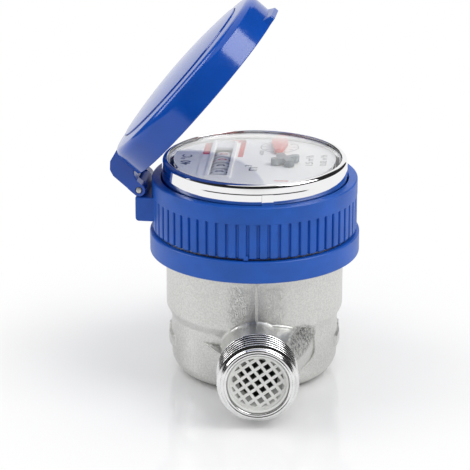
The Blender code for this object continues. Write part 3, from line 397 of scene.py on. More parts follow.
def seam_wrinkles(graph, x, z):
    """Worm-like lines beside the seam."""
    worms = graph.noise(graph.place((1.0, 1.0, 0.42)), 0.9, 2.0, 0.5, 1.2)
    lines = 1.0 - (abs(worms - 0.5) * 11.0).rise(0.0, 1.0)
    return lines * between(abs(x), *WRINKLES_ACROSS) * between(z, *WRINKLES_UP)


def dark_patch(graph, place, x, y, z):
    """Pitted patch on the near side of the body."""
    across = (x - PATCH_MIDDLE[0]) / PATCH_HALF[0]
    up = (z - PATCH_MIDDLE[1]) / PATCH_HALF[1]
    spot = (1.0 - (across ** 2.0 + up ** 2.0).rise(0.3, 1.5)) * between(y, *PATCH_ALONG)
    return spot * graph.noise(place, 1.0, 5.0, 0.8).rise(0.44, 0.60)


@surface_finish("cast_steel", Metallic=1.0)
def cast_steel(graph):
    """Blasted casting: fine grain, worm-like wrinkles by the seam and a rough dark patch."""
    colour = tuple(colours().casting)
    place = graph.place()
    x, y, z = graph.parts(place)
    grain = graph.noise(place, 1.9, 4.0, 0.6)
    flow = graph.noise(place, 0.28, 3.0, 0.55)
    wrinkles = seam_wrinkles(graph, x, z)
    patch = dark_patch(graph, place, x, y, z)
    tone = graph.shades(grain.rise(0.3, 0.72), colour, 0.86, 1.10)
    tone = graph.blend(wrinkles * 0.7, tone, shade(colour, 1.25))
    tone = graph.blend(patch * 0.9, tone, shade(colour, 0.22))
    rough = 0.37 + grain * 0.12 + patch * 0.25
    height = grain * 0.32 + flow * 0.8 + wrinkles * 0.7 - patch * 1.6
    return graph.surface(tone, rough, height, 0.16)


@surface_finish("polished_steel", Metallic=1.0)
def polished_steel(graph):
    """Turned steel of the port ends, with faint tool lines round the port."""
    x, y, z = graph.parts(graph.place())
    across = (x ** 2.0 + (z - PORT_Z) ** 2.0) ** 0.5
    tool = graph.noise(graph.joined(across * 6.0, y * 6.0, 0.0), 1.0, 3.0, 0.6)
    smear = graph.noise(graph.place(), 0.35, 3.0)
    tone = graph.shades(smear.rise(0.3, 0.7), tuple(colours().polished), 0.90, 1.0)
    return graph.surface(tone, 0.11 + smear * 0.12, tool, 0.006)


@surface_finish("pin_steel", Metallic=1.0, Roughness=0.26)
def pin_steel(graph):
    """Ground steel, a little yellow."""
    place = graph.place()
    tone = graph.blend(graph.noise(place, 1.2, 3.0), srgb(196, 188, 170), srgb(232, 228, 214))
    return {"Base Color": tone, "Normal": graph.bump(graph.noise(place, 4.0, 2.0), 0.01)}


@surface_finish("glossy_blue", IOR=1.5, Specular_IOR_Level=0.5)
def glossy_blue(graph):
    """Moulded lid: high gloss, with the faint unevenness of a large moulding."""
    colour = tuple(colours().lid)
    place = graph.place()
    wide = graph.noise(place, 0.06, 2.0)
    tone = graph.shades(wide.rise(0.3, 0.7), colour, 0.92, 1.08)
    fine = graph.noise(place, 0.3, 2.0)
    rough = 0.13 + graph.noise(place, 0.5, 4.0).rise(0.4, 0.8) * 0.05
    return graph.surface(tone, rough, fine, 0.015)


@surface_finish("satin_blue", IOR=1.5)
def satin_blue(graph):
    """Moulded collar and band: satin, with a fine spark-eroded grain."""
    colour = tuple(colours().collar)
    place = graph.place()
    grain = graph.noise(place, 3.2, 3.0, 0.6)
    wide = graph.noise(place, 0.12, 2.0)
    tone = graph.shades(wide.rise(0.3, 0.7), colour, 0.93, 1.08)
    return graph.surface(tone, 0.34 + grain * 0.14, grain, 0.03)


def plain_plastic(name, colour, roughness=0.4, grain_depth=0.02, variation=0.06, metallic=0.0):
    """Moulded plastic with a fine grain and a little unevenness of tone."""

    def links(graph):
        place = graph.place()
        grain = graph.noise(place, 2.6, 3.0, 0.6)
        wide = graph.noise(place, 0.3, 2.0).rise(0.3, 0.7)
        tone = graph.shades(wide, colour, 1.0 - variation, 1.0 + variation)
        return graph.surface(tone, roughness - 0.05 + grain * 0.1, grain, grain_depth)

    return finish_of(name, {"Metallic": metallic}, links)


@surface_finish("plated", Metallic=1.0)
def plated(graph):
    """Bright plated ring, with the finest of polishing marks."""
    x, y, z = graph.parts(graph.place())
    radius = (x ** 2.0 + y ** 2.0) ** 0.5
    marks = graph.noise(graph.joined(radius * 5.0, z * 5.0, 0.0), 1.0, 2.0)
    smear = graph.noise(graph.place(), 0.12, 2.0)
    tone = graph.shades(smear, tuple(colours().plated), 0.96, 1.0)
    return graph.surface(tone, 0.035 + smear * 0.03, marks, 0.002)


@surface_finish("clear_crystal", IOR=1.49, Roughness=0.0, Transmission_Weight=1.0)
def clear_crystal(graph):
    """Clear moulded crystal with a barely uneven face."""
    uneven = graph.noise(graph.place(), 0.09, 1.0)
    tone = graph.blend(uneven, (0.97, 0.98, 0.98), (1.0, 1.0, 1.0))
    return {"Base Color": tone, "Normal": graph.bump(uneven, 0.004)}


def black_rubber():
    return plain_plastic("black_rubber", (0.016, 0.016, 0.017), 0.72, 0.05, 0.2)


def magnet_metal():
    return plain_plastic("magnet_metal", (0.10, 0.10, 0.11), 0.42, 0.03, 0.15, 0.8)


# Meshes.


def arc(radius, start, end, steps):
    """Points on an arc round the origin, with its angles in degrees."""
    points = []
    for step in range(steps + 1):
        angle = math.radians(start + (end - start) * step / steps)
        points.append((radius * math.cos(angle), radius * math.sin(angle)))
    return points


def turns(steps):
    """Angles of evenly spaced points round a circle."""
    return [2 * math.pi * step / steps for step in range(steps)]


def circle(x, y, z, radius, steps):
    """Points on a flat circle."""
    return [(x + radius * math.cos(a), y + radius * math.sin(a), z) for a in turns(steps)]


def oval(centre, half_width, half_height, steps=64):
    """Points on an upright oval that faces along Y."""
    x, y, z = centre
    return [(x + half_width * math.cos(a), y, z + half_height * math.sin(a)) for a in turns(steps)]


def fillet(before, corner, after, radius, steps=6):
    """Points that round one corner of an outline."""
    back = (Vector(before) - Vector(corner)).normalized()
    on = (Vector(after) - Vector(corner)).normalized()
    half = math.acos(max(-1.0, min(1.0, back.dot(on)))) / 2
    if half > 1.56:
        return [tuple(corner)]
    run = radius / math.tan(half)
    centre = Vector(corner) + (back + on).normalized() * radius / math.sin(half)
    start = Vector(corner) + back * run - centre
    end = Vector(corner) + on * run - centre
    turn = start.angle_signed(end)
    points = []
    for step in range(steps + 1):
        arm = start.copy()
        arm.rotate(Matrix.Rotation(-turn * step / steps, 2))
        points.append(tuple(centre + arm))
    return points


def rounded(corners, steps=6):
    """Closed outline of (a, b) or (a, b, radius), with the corners that have a radius rounded."""
    points = []
    for index, corner in enumerate(corners):
        if len(corner) == 2:
            points.append(corner)
            continue
        before = corners[index - 1][:2]
        after = corners[(index + 1) % len(corners)][:2]
        points += fillet(before, corner[:2], after, corner[2], steps)
    return points


def box_outline(left, right, near, far, radius=0.0):
    """Rectangle, with rounded corners where a radius is given."""
    corners = [(left, near), (right, near), (right, far), (left, far)]
    return rounded([(*corner, radius) for corner in corners], 4) if radius else corners


def linked(name, data):
    """New object in the scene."""
    made = bpy.data.objects.new(name, data)
    bpy.context.scene.collection.objects.link(made)
    return made


def meshed(name, bm):
    """Object of a bmesh as it is."""
    mesh = bpy.data.meshes.new(name)
    bm.to_mesh(mesh)
    bm.free()
    return linked(name, mesh)


def piece(name, bm):
    """Object of a bmesh that is in millimetres."""
    bmesh.ops.recalc_face_normals(bm, faces=bm.faces)
    made = meshed(name, bm)
    made.data.transform(Matrix.Scale(MM, 4))
    return made


def shifted(obj, x, y, z=0.0):
    """Moves a mesh by millimetres."""
    obj.data.transform(Matrix.Translation(Vector((x, y, z)) * MM))
    return obj


def turned(obj, angle):
    """Turns a mesh about Z."""
    obj.data.transform(Matrix.Rotation(angle, 4, "Z"))
    return obj


def lathe(name, profile, steps=192):
    """Closed profile of (radius, z) turned round Z. Points at radius 0 close its ends."""
    bm = bmesh.new()
    rings = []
    for radius, z in profile:
        if radius < 1e-6:
            rings.append([bm.verts.new((0.0, 0.0, z))])
            continue
        rings.append([bm.verts.new(point) for point in circle(0.0, 0.0, z, radius, steps)])
    for one, two in zip(rings, rings[1:] + rings[:1]):
        if len(one) == 1 and len(two) == 1:
            continue
        for step in range(steps):
            after = (step + 1) % steps
            if len(one) == 1:
                bm.faces.new((one[0], two[step], two[after]))
            elif len(two) == 1:
                bm.faces.new((one[step], two[0], one[after]))
            else:
                bm.faces.new((one[step], two[step], two[after], one[after]))
    return piece(name, bm)


def rod(name, radius, start, end, steps):
    """Plain cylinder round Z."""
    return lathe(name, [(0.0, start), (radius, start), (radius, end), (0.0, end)], steps)


def prism(name, outline, start, end, axes="xyz"):
    """Outline pushed from start to end. axes names where its two sides and its depth lie."""
    order = [axes.index(letter) for letter in "xyz"]
    bm = bmesh.new()
    ends = []
    for depth in (start, end):
        loop = []
        for a, b in outline:
            values = (a, b, depth)
            loop.append(bm.verts.new([values[index] for index in order]))
        ends.append(loop)
        bm.faces.new(loop)
    count = len(outline)
    for index in range(count):
        after = (index + 1) % count
        bm.faces.new((ends[0][index], ends[0][after], ends[1][after], ends[1][index]))
    return piece(name, bm)


def hull(name, points):
    """Smallest solid without hollows that holds these points."""
    bm = bmesh.new()
    made = [bm.verts.new(point) for point in points]
    found = bmesh.ops.convex_hull(bm, input=made)
    spare = [item for item in found["geom_interior"] if isinstance(item, bmesh.types.BMVert)]
    bmesh.ops.delete(bm, geom=spare, context="VERTS")
    return piece(name, bm)


def along_y(x, z):
    """Move that lays what is turned round Z along Y, with its axis at this x and z."""
    return Matrix(((1, 0, 0, x * MM), (0, 0, 1, 0), (0, -1, 0, z * MM), (0, 0, 0, 1)))


def bar(name, radius, start, end, x, z, steps=64):
    """Round bar along Y."""
    made = rod(name, radius, start, end, steps)
    made.data.transform(along_y(x, z))
    return made


def applied(obj):
    """Makes the result of an object's modifiers its mesh."""
    graph = bpy.context.evaluated_depsgraph_get()
    mesh = bpy.data.meshes.new_from_object(obj.evaluated_get(graph))
    if not mesh.polygons:
        raise RuntimeError(obj.name + " has no faces left")
    obj.modifiers.clear()
    old = obj.data
    obj.data = mesh
    bpy.data.meshes.remove(old)
    return obj


def modified(obj, kind, **settings):
    """Applies one modifier."""
    modifier = obj.modifiers.new("step", kind)
    for name, value in settings.items():
        setattr(modifier, name, value)
    return applied(obj)


def combined(obj, others, operation):
    """Solid that each of the others has changed in turn."""
    for other in others:
        before = len(obj.data.polygons)
        modified(obj, "BOOLEAN", operation=operation, object=other, solver="MANIFOLD")
        if len(obj.data.polygons) == before:
            raise RuntimeError("%s and %s don't meet" % (obj.name, other.name))
        bpy.data.objects.remove(other)
    return obj


def join(obj, *others):
    return combined(obj, others, "UNION")


def cut(obj, *others):
    return combined(obj, others, "DIFFERENCE")


def keep(obj, *others):
    return combined(obj, others, "INTERSECT")


def eased(obj, width, segments=3, angle=30):
    """Rounds the sharp edges of a solid."""
    limit = math.radians(angle)
    return modified(
        obj, "BEVEL", width=width * MM, segments=segments, limit_method="ANGLE",
        angle_limit=limit, use_clamp_overlap=True, harden_normals=False,
    )


def smooth(obj, angle=32):
    """Smooth shading, with the edges past this angle kept sharp."""
    mesh = obj.data
    mesh.polygons.foreach_set("use_smooth", [True] * len(mesh.polygons))
    mesh.set_sharp_from_angle(angle=math.radians(angle))
    return obj


def place_piece(obj, body, material=None, hides=(), angle=32):
    """Gives a finished piece its shading and finish, and sets it on the body that carries it."""
    if material is not None:
        obj.data.materials.clear()
        obj.data.materials.append(material)
    smooth(obj, angle)
    modified(obj, "WEIGHTED_NORMAL", keep_sharp=True)
    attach(obj, body)
    if hides:
        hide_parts(*hides)
    return obj


# Geometry trees.


def geometry_tree(name, inputs, build):
    """Tree with these number inputs, {name: default}, whose result gets a material."""
    tree = bpy.data.node_groups.new(name, "GeometryNodeTree")
    tree.interface.new_socket("Geometry", in_out="INPUT", socket_type="NodeSocketGeometry")
    tree.interface.new_socket("Geometry", in_out="OUTPUT", socket_type="NodeSocketGeometry")
    for label, default in inputs.items():
        kind = "NodeSocketInt" if isinstance(default, int) else "NodeSocketFloat"
        socket = tree.interface.new_socket(label, in_out="INPUT", socket_type=kind)
        socket.default_value = default
    tree.interface.new_socket("Material", in_out="INPUT", socket_type="NodeSocketMaterial")
    graph = Graph(tree)
    first = graph.node("NodeGroupInput")
    given = {label: graph.other(first, label) for label in (*inputs, "Material")}
    shape = build(graph, first, given)
    whole = graph.node("GeometryNodeRealizeInstances", values={0: shape})
    painted = graph.node(
        "GeometryNodeSetMaterial", values={"Geometry": whole, "Material": given["Material"]}
    )
    graph.node("NodeGroupOutput", values={0: painted})
    return tree


def run_tree(obj, tree, settings):
    """Runs a geometry tree on an object and keeps the result as its plain mesh."""
    modifier = obj.modifiers.new("shape", "NODES")
    modifier.node_group = tree
    for item in tree.interface.items_tree:
        if item.in_out == "INPUT" and item.name in settings:
            modifier[item.identifier] = settings[item.name]
    return applied(obj)


def around_axis(graph):
    """Place of a point as (radius, angle in turns, height) in metres, and its outward direction."""
    place = graph.node("GeometryNodeInputPosition")
    x, y, z = graph.parts(place)
    radius = (x * x + y * y) ** 0.5
    turn = x.sum_of("ARCTAN2", y, x) / (2 * math.pi)
    outward = graph.joined(x / radius, y / radius, 0.0)
    return radius, turn, z, outward


def moved_out(graph, shape, outward, amount):
    """Shape with its points moved along their outward direction."""
    values = {0: outward, "Scale": amount}
    offset = graph.node("ShaderNodeVectorMath", {"operation": "SCALE"}, values)
    return graph.node("GeometryNodeSetPosition", values={"Geometry": shape, "Offset": offset})


def thread_tree():
    """Screw thread raised on the side of an upright turned end, whose face is at height 0."""
    inputs = {"Pitch": 0.0018, "Height": 0.0011, "Root": 0.012, "Start": 0.001, "End": 0.01}

    def build(graph, shape, given):
        radius, turn, z, outward = around_axis(graph)
        depth = 0.0 - z
        phase = (depth / given["Pitch"] + turn).share()
        flank = 1.0 - abs(phase * 2.0 - 1.0)
        form = flank.rise(0.08, 0.80)
        begin = ((depth - given["Start"]) / given["Pitch"]).rise(0.0, 0.55)
        finish = ((given["End"] - depth) / given["Pitch"]).rise(0.0, 0.8)
        outside = ((radius - given["Root"]) * PER_METRE).rise(-0.25, -0.15)
        return moved_out(graph, shape, outward, form * begin * finish * outside * given["Height"])

    return geometry_tree("port_thread", inputs, build)


WHOLE_TURNS = 100.0  # keeps the phase of the ribs above 0


def rib_tree():
    """Grooves between the ribs of the collar, pressed into the side of a ring."""
    inputs = {"Ribs": 62, "Depth": 0.0006, "Share": 0.7, "Side": 0.034, "Low": 0.05, "High": 0.062}

    def build(graph, shape, given):
        radius, turn, z, outward = around_axis(graph)
        phase = (turn * given["Ribs"] + WHOLE_TURNS).share()
        beyond = abs(phase - 0.5) - given["Share"] * 0.5
        groove = beyond.rise(-0.075, 0.0) ** 2.0 * 0.25 + beyond.rise(0.0, 0.04) * 0.75
        low_end = ((z - given["Low"]) * PER_METRE).rise(-0.1, 0.1)
        high_end = 1.0 - ((z - given["High"]) * PER_METRE).rise(-0.25, 0.05)
        outside = ((radius - given["Side"]) * PER_METRE).rise(-0.9, -0.7)
        depth = groove * high_end * outside * low_end * given["Depth"]
        return moved_out(graph, shape, outward, depth * -1.0)

    return geometry_tree("collar_ribs", inputs, build)


GRID_ROWS = 9


def grid_points(graph, given):
    """Points of a flat grid that lie within reach of its middle."""
    side = given["Pitch"] * (GRID_ROWS - 1.0)
    grid = {"Size X": side, "Size Y": side, "Vertices X": GRID_ROWS, "Vertices Y": GRID_ROWS}
    points = graph.node("GeometryNodeMeshGrid", values=grid)
    spot = graph.node("GeometryNodeInputPosition")
    away = graph.node("ShaderNodeVectorMath", {"operation": "LENGTH"}, {0: spot}, "Value")
    limits = {0: away, 1: given["Reach"]}
    far = graph.node("FunctionNodeCompare", {"operation": "GREATER_THAN"}, limits)
    values = {"Geometry": points, "Selection": far}
    return graph.node("GeometryNodeDeleteGeometry", values=values)


def grid_tree():
    """Square holes on a grid, cut through a plate that lies flat."""
    inputs = {
        "Hole": 0.002, "Pitch": 0.00275, "Reach": 0.008, "Turn": 0.6, "Height": 0.0, "Deep": 0.01
    }

    def build(graph, shape, given):
        points = grid_points(graph, given)
        block = graph.joined(given["Hole"], given["Hole"], given["Deep"])
        cube = graph.node("GeometryNodeMeshCube", values={"Size": block})
        values = {"Points": points, "Instance": cube}
        holes = graph.node("GeometryNodeInstanceOnPoints", values=values)
        values = {"Axis": (0.0, 0.0, 1.0), "Angle": given["Turn"]}
        turn = graph.node("FunctionNodeAxisAngleToRotation", values=values)
        shift = graph.joined(0.0, 0.0, given["Height"])
        values = {"Geometry": holes, "Translation": shift, "Rotation": turn}
        placed = graph.node("GeometryNodeTransform", values=values)
        solid = graph.node("GeometryNodeRealizeInstances", values={0: placed})
        values = {"Mesh 1": shape, "Mesh 2": solid}
        return graph.node("GeometryNodeMeshBoolean", {"operation": "DIFFERENCE"}, values)

    return geometry_tree("strainer_grid", inputs, build)


# The casting and its ports. A port's side is -1 for the inlet and 1 for the outlet.

SIDES = (-1, 1)


def body_radius(z):
    """Outside radius of the plain body at this height."""
    share = min(1.0, max(0.0, (z - STEP_LOW) / (STEP_HIGH - STEP_LOW)))
    return LOWER_R + (UPPER_R - LOWER_R) * share


# The swept boss runs from an oval round the neck to a squarer one on the body.
BOSS_NEAR = {
    "y": NECK_START + 2.5, "middle": 0.0, "square": 1.0,
    "half_width": PORT_NECK_R - 0.5, "half_height": PORT_NECK_R - 0.5,
}
BOSS_FAR = {
    "y": 0.502 * LOWER_R, "middle": 0.233 * LOWER_R, "square": 0.65,
    "half_width": LOWER_R / 1.8, "half_height": 8.6,
}


def boss_point(side, angle, share):
    """Point on the swept boss, from its small oval (share 0) to its large one (share 1)."""
    ends = []
    for form in (BOSS_NEAR, BOSS_FAR):
        across, up = [
            math.copysign(abs(value) ** form["square"], value)
            for value in (math.cos(angle), math.sin(angle))
        ]
        x = form["middle"] + form["half_width"] * across
        ends.append(Vector((x, side * form["y"], PORT_Z + form["half_height"] * up)))
    return ends[0].lerp(ends[1], share)


def boss_meets_body(side, angle):
    """Point where the boss runs into the body, found by halving."""
    out, inside = 0.0, 1.0
    for _ in range(30):
        middle = (out + inside) / 2
        point = boss_point(side, angle, middle)
        if point.xy.length > body_radius(point.z):
            out = middle
        else:
            inside = middle
    return boss_point(side, angle, out)


def tube(name, points, radius, steps=10):
    """Round bead along a path, thinner at its two ends."""
    bm = bmesh.new()
    rings = []
    last = len(points) - 1
    for index, point in enumerate(points):
        along = (points[min(index + 1, last)] - points[max(index - 1, 0)]).normalized()
        out = Vector((point.x, point.y, 0.0)).normalized()
        across = along.cross(out).normalized()
        out = across.cross(along)
        end = min(index, last - index) / last
        size = radius * min(1.0, 0.25 + 9.0 * end)
        arms = [(out * math.cos(a) + across * math.sin(a)) * size for a in turns(steps)]
        rings.append([bm.verts.new(point + arm) for arm in arms])
    for one, two in zip(rings, rings[1:]):
        for step in range(steps):
            after = (step + 1) % steps
            bm.faces.new((one[step], one[after], two[after], two[step]))
    bm.faces.new(rings[0])
    bm.faces.new(rings[-1])
    return piece(name, bm)


def port_name(side):
    return "inlet" if side < 0 else "outlet"


def gusset(side):
    """Web between the port's neck and the body."""
    root = side * 0.69 * LOWER_R
    tip = side * (NECK_START - 3.5)
    outer = PORT_NECK_R - 1.8
    inner = PORT_NECK_R - 5.4
    points = [
        (-0.688 * LOWER_R, root, 1.9), (-outer, tip, 0.5), (-inner, tip, 1.1), (-inner, root, 2.5),
        (-0.55 * LOWER_R, root, -1.8), (-inner, tip - side * 2.5, -1.8), (-inner, root, -1.8),
    ]
    web = hull(port_name(side) + "_gusset", [Vector((x, y, PORT_Z + z)) for x, y, z in points])
    return eased(web, 0.3)


def port_form(side):
    """Neck and swept boss of one port, as separate solids."""
    name = port_name(side)
    span = sorted((side * (PORT_END - THREAD_PIECE + 0.3), side * (BOSS_FAR["y"] + 8.0)))
    neck = bar(name + "_neck", PORT_NECK_R, *span, 0.0, PORT_Z, 96)
    shell = [boss_point(side, angle, share) for share in (0.0, 1.0) for angle in turns(72)]
    return neck, hull(name + "_boss", shell)


def flow_arrow(side):
    """Raised arrow that points from the inlet to the outlet and follows the round of the body."""
    half, tall, head = 8.5, 4.0, 2.1
    outline = [(-half, -tall / 2), (head, -tall / 2), (head, -tall), (half, 0.0)]
    outline += [(head, tall), (head, tall / 2), (-half, tall / 2)]
    outline = [(y, z + PORT_Z - 3.5) for y, z in outline]
    span = sorted((side * (LOWER_R - 5.0), side * (LOWER_R + 3.0)))
    arrow = prism("flow_arrow", outline, *span, axes="yzx")
    return keep(arrow, rod("arrow_skin", LOWER_R + 0.95, 2.0, STEP_LOW, 96))


def port_cutters(side):
    """Bore and jet duct of one port."""
    name = port_name(side)
    span = sorted((side * (PORT_END + 2.0), side * (NECK_START - 1.0)))
    bore = bar(name + "_bore", BORE_R, *span, 0.0, PORT_Z)
    wide, narrow = BORE_R - 0.2, 4.0
    jet = oval((0.0, side * (NECK_START + 1.0), PORT_Z), wide, wide)
    jet += oval((CHAMBER_R - 6.5, side * 0.55 * CHAMBER_R, PORT_Z + 0.5), narrow, narrow)
    return bore, hull(name + "_jet", jet)


def casting_outside(voxel):
    """Outside of the casting, with every edge rounded as sand leaves it."""
    profile = rounded([
        (0.0, NECK_TOP),
        (CAST_NECK_R, NECK_TOP),
        (CAST_NECK_R, CAST_FLANGE_TOP),
        (FLANGE_R, CAST_FLANGE_TOP),
        (FLANGE_R, FLANGE_LOW),
        (UPPER_R, FLANGE_LOW),
        (UPPER_R, STEP_HIGH, 1.2),
        (LOWER_R, STEP_LOW, 1.2),
        (LOWER_R, 0.0, BOTTOM_FILLET),
        (0.0, 0.0),
    ])
    casting = lathe("body_casting", profile, 160)
    for side in SIDES:
        join(casting, *port_form(side), flow_arrow(side))
    modified(casting, "REMESH", mode="VOXEL", voxel_size=voxel)
    modified(casting, "SMOOTH", factor=0.5, iterations=3)
    return join(casting, *[gusset(side) for side in SIDES])


def seam(side):
    """Parting line up the body."""
    y = side * (UPPER_R + 0.02)
    heights = [STEP_HIGH + 1.2 + step * 0.5 for step in range(35)]
    return tube("seam", [Vector((0.0, y, z)) for z in heights if z < BAND_LOW - 0.6], SEAM_THICK)


def boss_bead(side):
    """Bead that follows the swept boss where it runs into the body."""
    start, sweep, steps, lift = 168, 218, 90, 0.2
    path = []
    for step in range(steps + 1):
        angle = math.radians(start - sweep * step / steps)
        point = boss_meets_body(side, angle)
        out = Vector((point.x, point.y, 0.0)).normalized()
        path.append(point + out * lift + Vector((0.0, 0.0, lift * math.sin(angle))))
    return tube("boss_bead", path, BEAD_THICK)


def make_casting():
    casting = casting_outside(sizes().casting_voxel)
    for side in SIDES:
        join(casting, seam(side), boss_bead(side))
    inside = [
        (0.0, NECK_TOP + 1.0),
        (CAVITY_R, NECK_TOP + 1.0),
        (CAVITY_R, CHAMBER_TOP),
        (CHAMBER_R, CHAMBER_TOP),
        (CHAMBER_R, CHAMBER_LOW),
        (0.0, CHAMBER_LOW),
    ]
    cut(casting, lathe("body_inside", inside, 128))
    for side in SIDES:
        cut(casting, *port_cutters(side))
    return place_piece(casting, "base", cast_steel(), ["meter_body"], 50)


def port_place(side):
    turn = Matrix.Rotation(-side * math.pi / 2, 4, "X")
    return Matrix.Translation(Vector((0.0, side * PORT_END, PORT_Z)) * MM) @ turn


def port_end_profile():
    """Half section of a machined end, with its face at height 0 and a small groove in it."""
    ring, fine, bevel = MOUTH_R + 0.95, 0.15, 0.35
    profile = [(MOUTH_R, -0.3), (MOUTH_R + 0.3, 0.0)]
    profile += [(ring - fine, 0.0), (ring, -fine), (ring + fine, 0.0)]
    profile += [(END_FACE_R - bevel, 0.0), (END_FACE_R, -bevel), (THREAD_ROOT_R, -0.8)]
    for row in range(THREAD_ROWS + 1):
        depth = 0.9 + (THREAD_PIECE - 1.3) * row / THREAD_ROWS
        profile.append((THREAD_ROOT_R, -depth))
    profile += [(PORT_NECK_R, -THREAD_PIECE + fine), (PORT_NECK_R, -THREAD_PIECE)]
    profile += [(BORE_R, -THREAD_PIECE), (BORE_R, -MOUTH_DEPTH), (MOUTH_R, -MOUTH_DEPTH)]
    return profile


def make_port_end(side, tree):
    """Machined end of one port: end face, mouth and thread. It is turned upright, then laid."""
    end = lathe(port_name(side) + "_thread", port_end_profile(), 168)
    run_tree(end, tree, {
        "Pitch": sizes().thread_pitch,
        "Height": sizes().thread_height,
        "Root": THREAD_ROOT_R * MM,
        "Start": 0.9 * MM,
        "End": (THREAD_PIECE - 0.5) * MM,
        "Material": polished_steel(),
    })
    end.data.transform(port_place(side))
    return place_piece(end, "base", None, (), 65)


def make_port_ends():
    tree = thread_tree()
    for side in SIDES:
        make_port_end(side, tree)


def make_strainer():
    """White cup set back in the inlet mouth, with a square grid inside its ring."""
    rim_r, step_r, hole_r = MOUTH_R - GAP, MOUTH_R - 0.9, MOUTH_R - 1.4
    front, back, foot = -2.1, -2.55, -6.0
    finish = plain_plastic("strainer_white", tuple(colours().strainer), 0.38)
    plate = rod("strainer_grid", hole_r + 0.2, front, back, 96)
    run_tree(plate, grid_tree(), {
        "Hole": sizes().strainer_hole,
        "Pitch": sizes().strainer_pitch,
        "Reach": (hole_r + 1.2) * MM,
        "Turn": sizes().strainer_turn,
        "Height": (front + back) / 2 * MM,
        "Deep": 3.0 * MM,
        "Material": finish,
    })
    cup = lathe("strainer_cup", rounded([
        (hole_r, front + 0.05, 0.2),
        (step_r, front + 0.05),
        (step_r, -0.45, 0.2),
        (rim_r + 0.2, -0.35, 0.25),
        (rim_r + 0.2, -1.4),
        (rim_r, -1.6),
        (rim_r, foot, 0.2),
        (hole_r - 2.2, foot),
    ], 4), 96)
    join(cup, plate)
    eased(cup, 0.07, 2, 60)
    cup.data.transform(port_place(-1))
    return place_piece(cup, "base", finish, ["inlet_strainer"], 40)


# The blue head.


def make_band():
    """Plain band that holds the collar down on the casting's flange."""
    inner = UPPER_R + GAP
    seat = FLANGE_R + GAP
    band = lathe("lock_band_ring", rounded([
        (inner, BAND_LOW, 0.25),
        (inner, FLANGE_LOW - GAP),
        (seat, FLANGE_LOW - GAP),
        (seat, BAND_TOP, 0.15),
        (BAND_R, BAND_TOP, 0.55),
        (BAND_R, BAND_LOW, 0.55),
    ]), 256)
    return place_piece(band, "head", satin_blue(), ["lock_band"])


# Heights of the collar's rows of points, close together where the grooves run out.
RIB_ROWS = (53.0, 55.5, 58.0, 60.5, 61.4, 61.7, 61.9, 62.05, 62.2)


def collar_profile():
    """Half section of the collar: plain side for the ribs, rim and the lip on the bezel."""
    foot = rounded([
        (COLLAR_BORE_R, COLLAR_LIP_LOW),
        (COLLAR_BORE_R, COLLAR_LOW),
        (COLLAR_R, COLLAR_LOW, 0.4),
    ], 4)
    rim = rounded([
        (COLLAR_R, RIM_LOW + 0.1),
        (COLLAR_RIM_R, RIM_LOW + 0.25),
        (COLLAR_RIM_R, COLLAR_TOP, 0.5),
        (COLLAR_LIP_R, COLLAR_TOP, 0.3),
        (COLLAR_LIP_R, COLLAR_LIP_LOW),
    ], 5)
    return foot + [(COLLAR_R, z) for z in (COLLAR_LOW + 0.7, *RIB_ROWS)] + rim


def collar_ring():
    """Ribbed ring with its plain rim and the lip that holds the bezel."""
    count = sizes().rib_count
    ring = lathe("collar_body", collar_profile(), count * POINTS_PER_RIB)
    return run_tree(ring, rib_tree(), {
        "Ribs": count,
        "Depth": sizes().rib_depth,
        "Share": sizes().rib_share,
        "Side": COLLAR_R * MM,
        "Low": (COLLAR_LOW - 0.2) * MM,
        "High": (RIM_LOW - 0.05) * MM,
        "Material": satin_blue(),
    })


def hinge_block():
    """Block that carries the hinge knuckle, drawn with its side towards -Y."""
    root = -COLLAR_R + 1.6
    out = HINGE.x - 1.3
    foot = COLLAR_LOW + 2.8
    top = HINGE.z - KNUCKLE_R - GAP
    outline = rounded([(root, foot), (out, foot, 1.2), (out, top), (root, top)])
    block = eased(prism("hinge_block", outline, -HINGE_HALF, HINGE_HALF, axes="xzy"), 0.35)
    points = []
    for y in (-KNUCKLE_HALF, KNUCKLE_HALF):
        points += oval((HINGE.x, y, HINGE.z), KNUCKLE_R, KNUCKLE_R, 48)
        points += [(out + 0.2, y, top - 0.5), (HINGE.x + KNUCKLE_R, y, top - 0.5)]
    return join(block, hull("knuckle", points))


def pin_hole(half):
    return bar("pin_hole", PIN_HOLE_R, -half, half, HINGE.x, HINGE.z, 32)


def tear_bridge():
    """Small bridge from collar to band that breaks when the head is taken off."""
    outline = box_outline(-0.8, 0.8, COLLAR_LOW - 0.45, COLLAR_LOW + 1.0)
    bridge = prism("bridge", outline, COLLAR_R - 1.5, COLLAR_R - 0.1, axes="yzx")
    return turned(bridge, math.radians(-88))


def make_collar():
    collar = join(collar_ring(), hinge_block())
    above, below = 80.0, 40.0
    cut(collar, lathe("collar_clear", [
        (0.0, above),
        (COLLAR_LIP_R, above),
        (COLLAR_LIP_R, COLLAR_LIP_LOW),
        (COLLAR_BORE_R, COLLAR_LIP_LOW),
        (COLLAR_BORE_R, below),
        (0.0, below),
    ], 248))
    cut(collar, pin_hole(HINGE_HALF + 1.0))
    join(collar, tear_bridge())
    collar.data.transform(INTO_HEAD)
    return place_piece(collar, "head", satin_blue(), ["collar"], 30)


def cap_curve(crown, radius, ball, steps):
    """Points of a round cap from its crown on the Z axis out to this radius."""
    outs = [radius * step / steps for step in range(steps + 1)]
    return [(out, crown - ball + math.sqrt(ball * ball - out * out)) for out in outs]


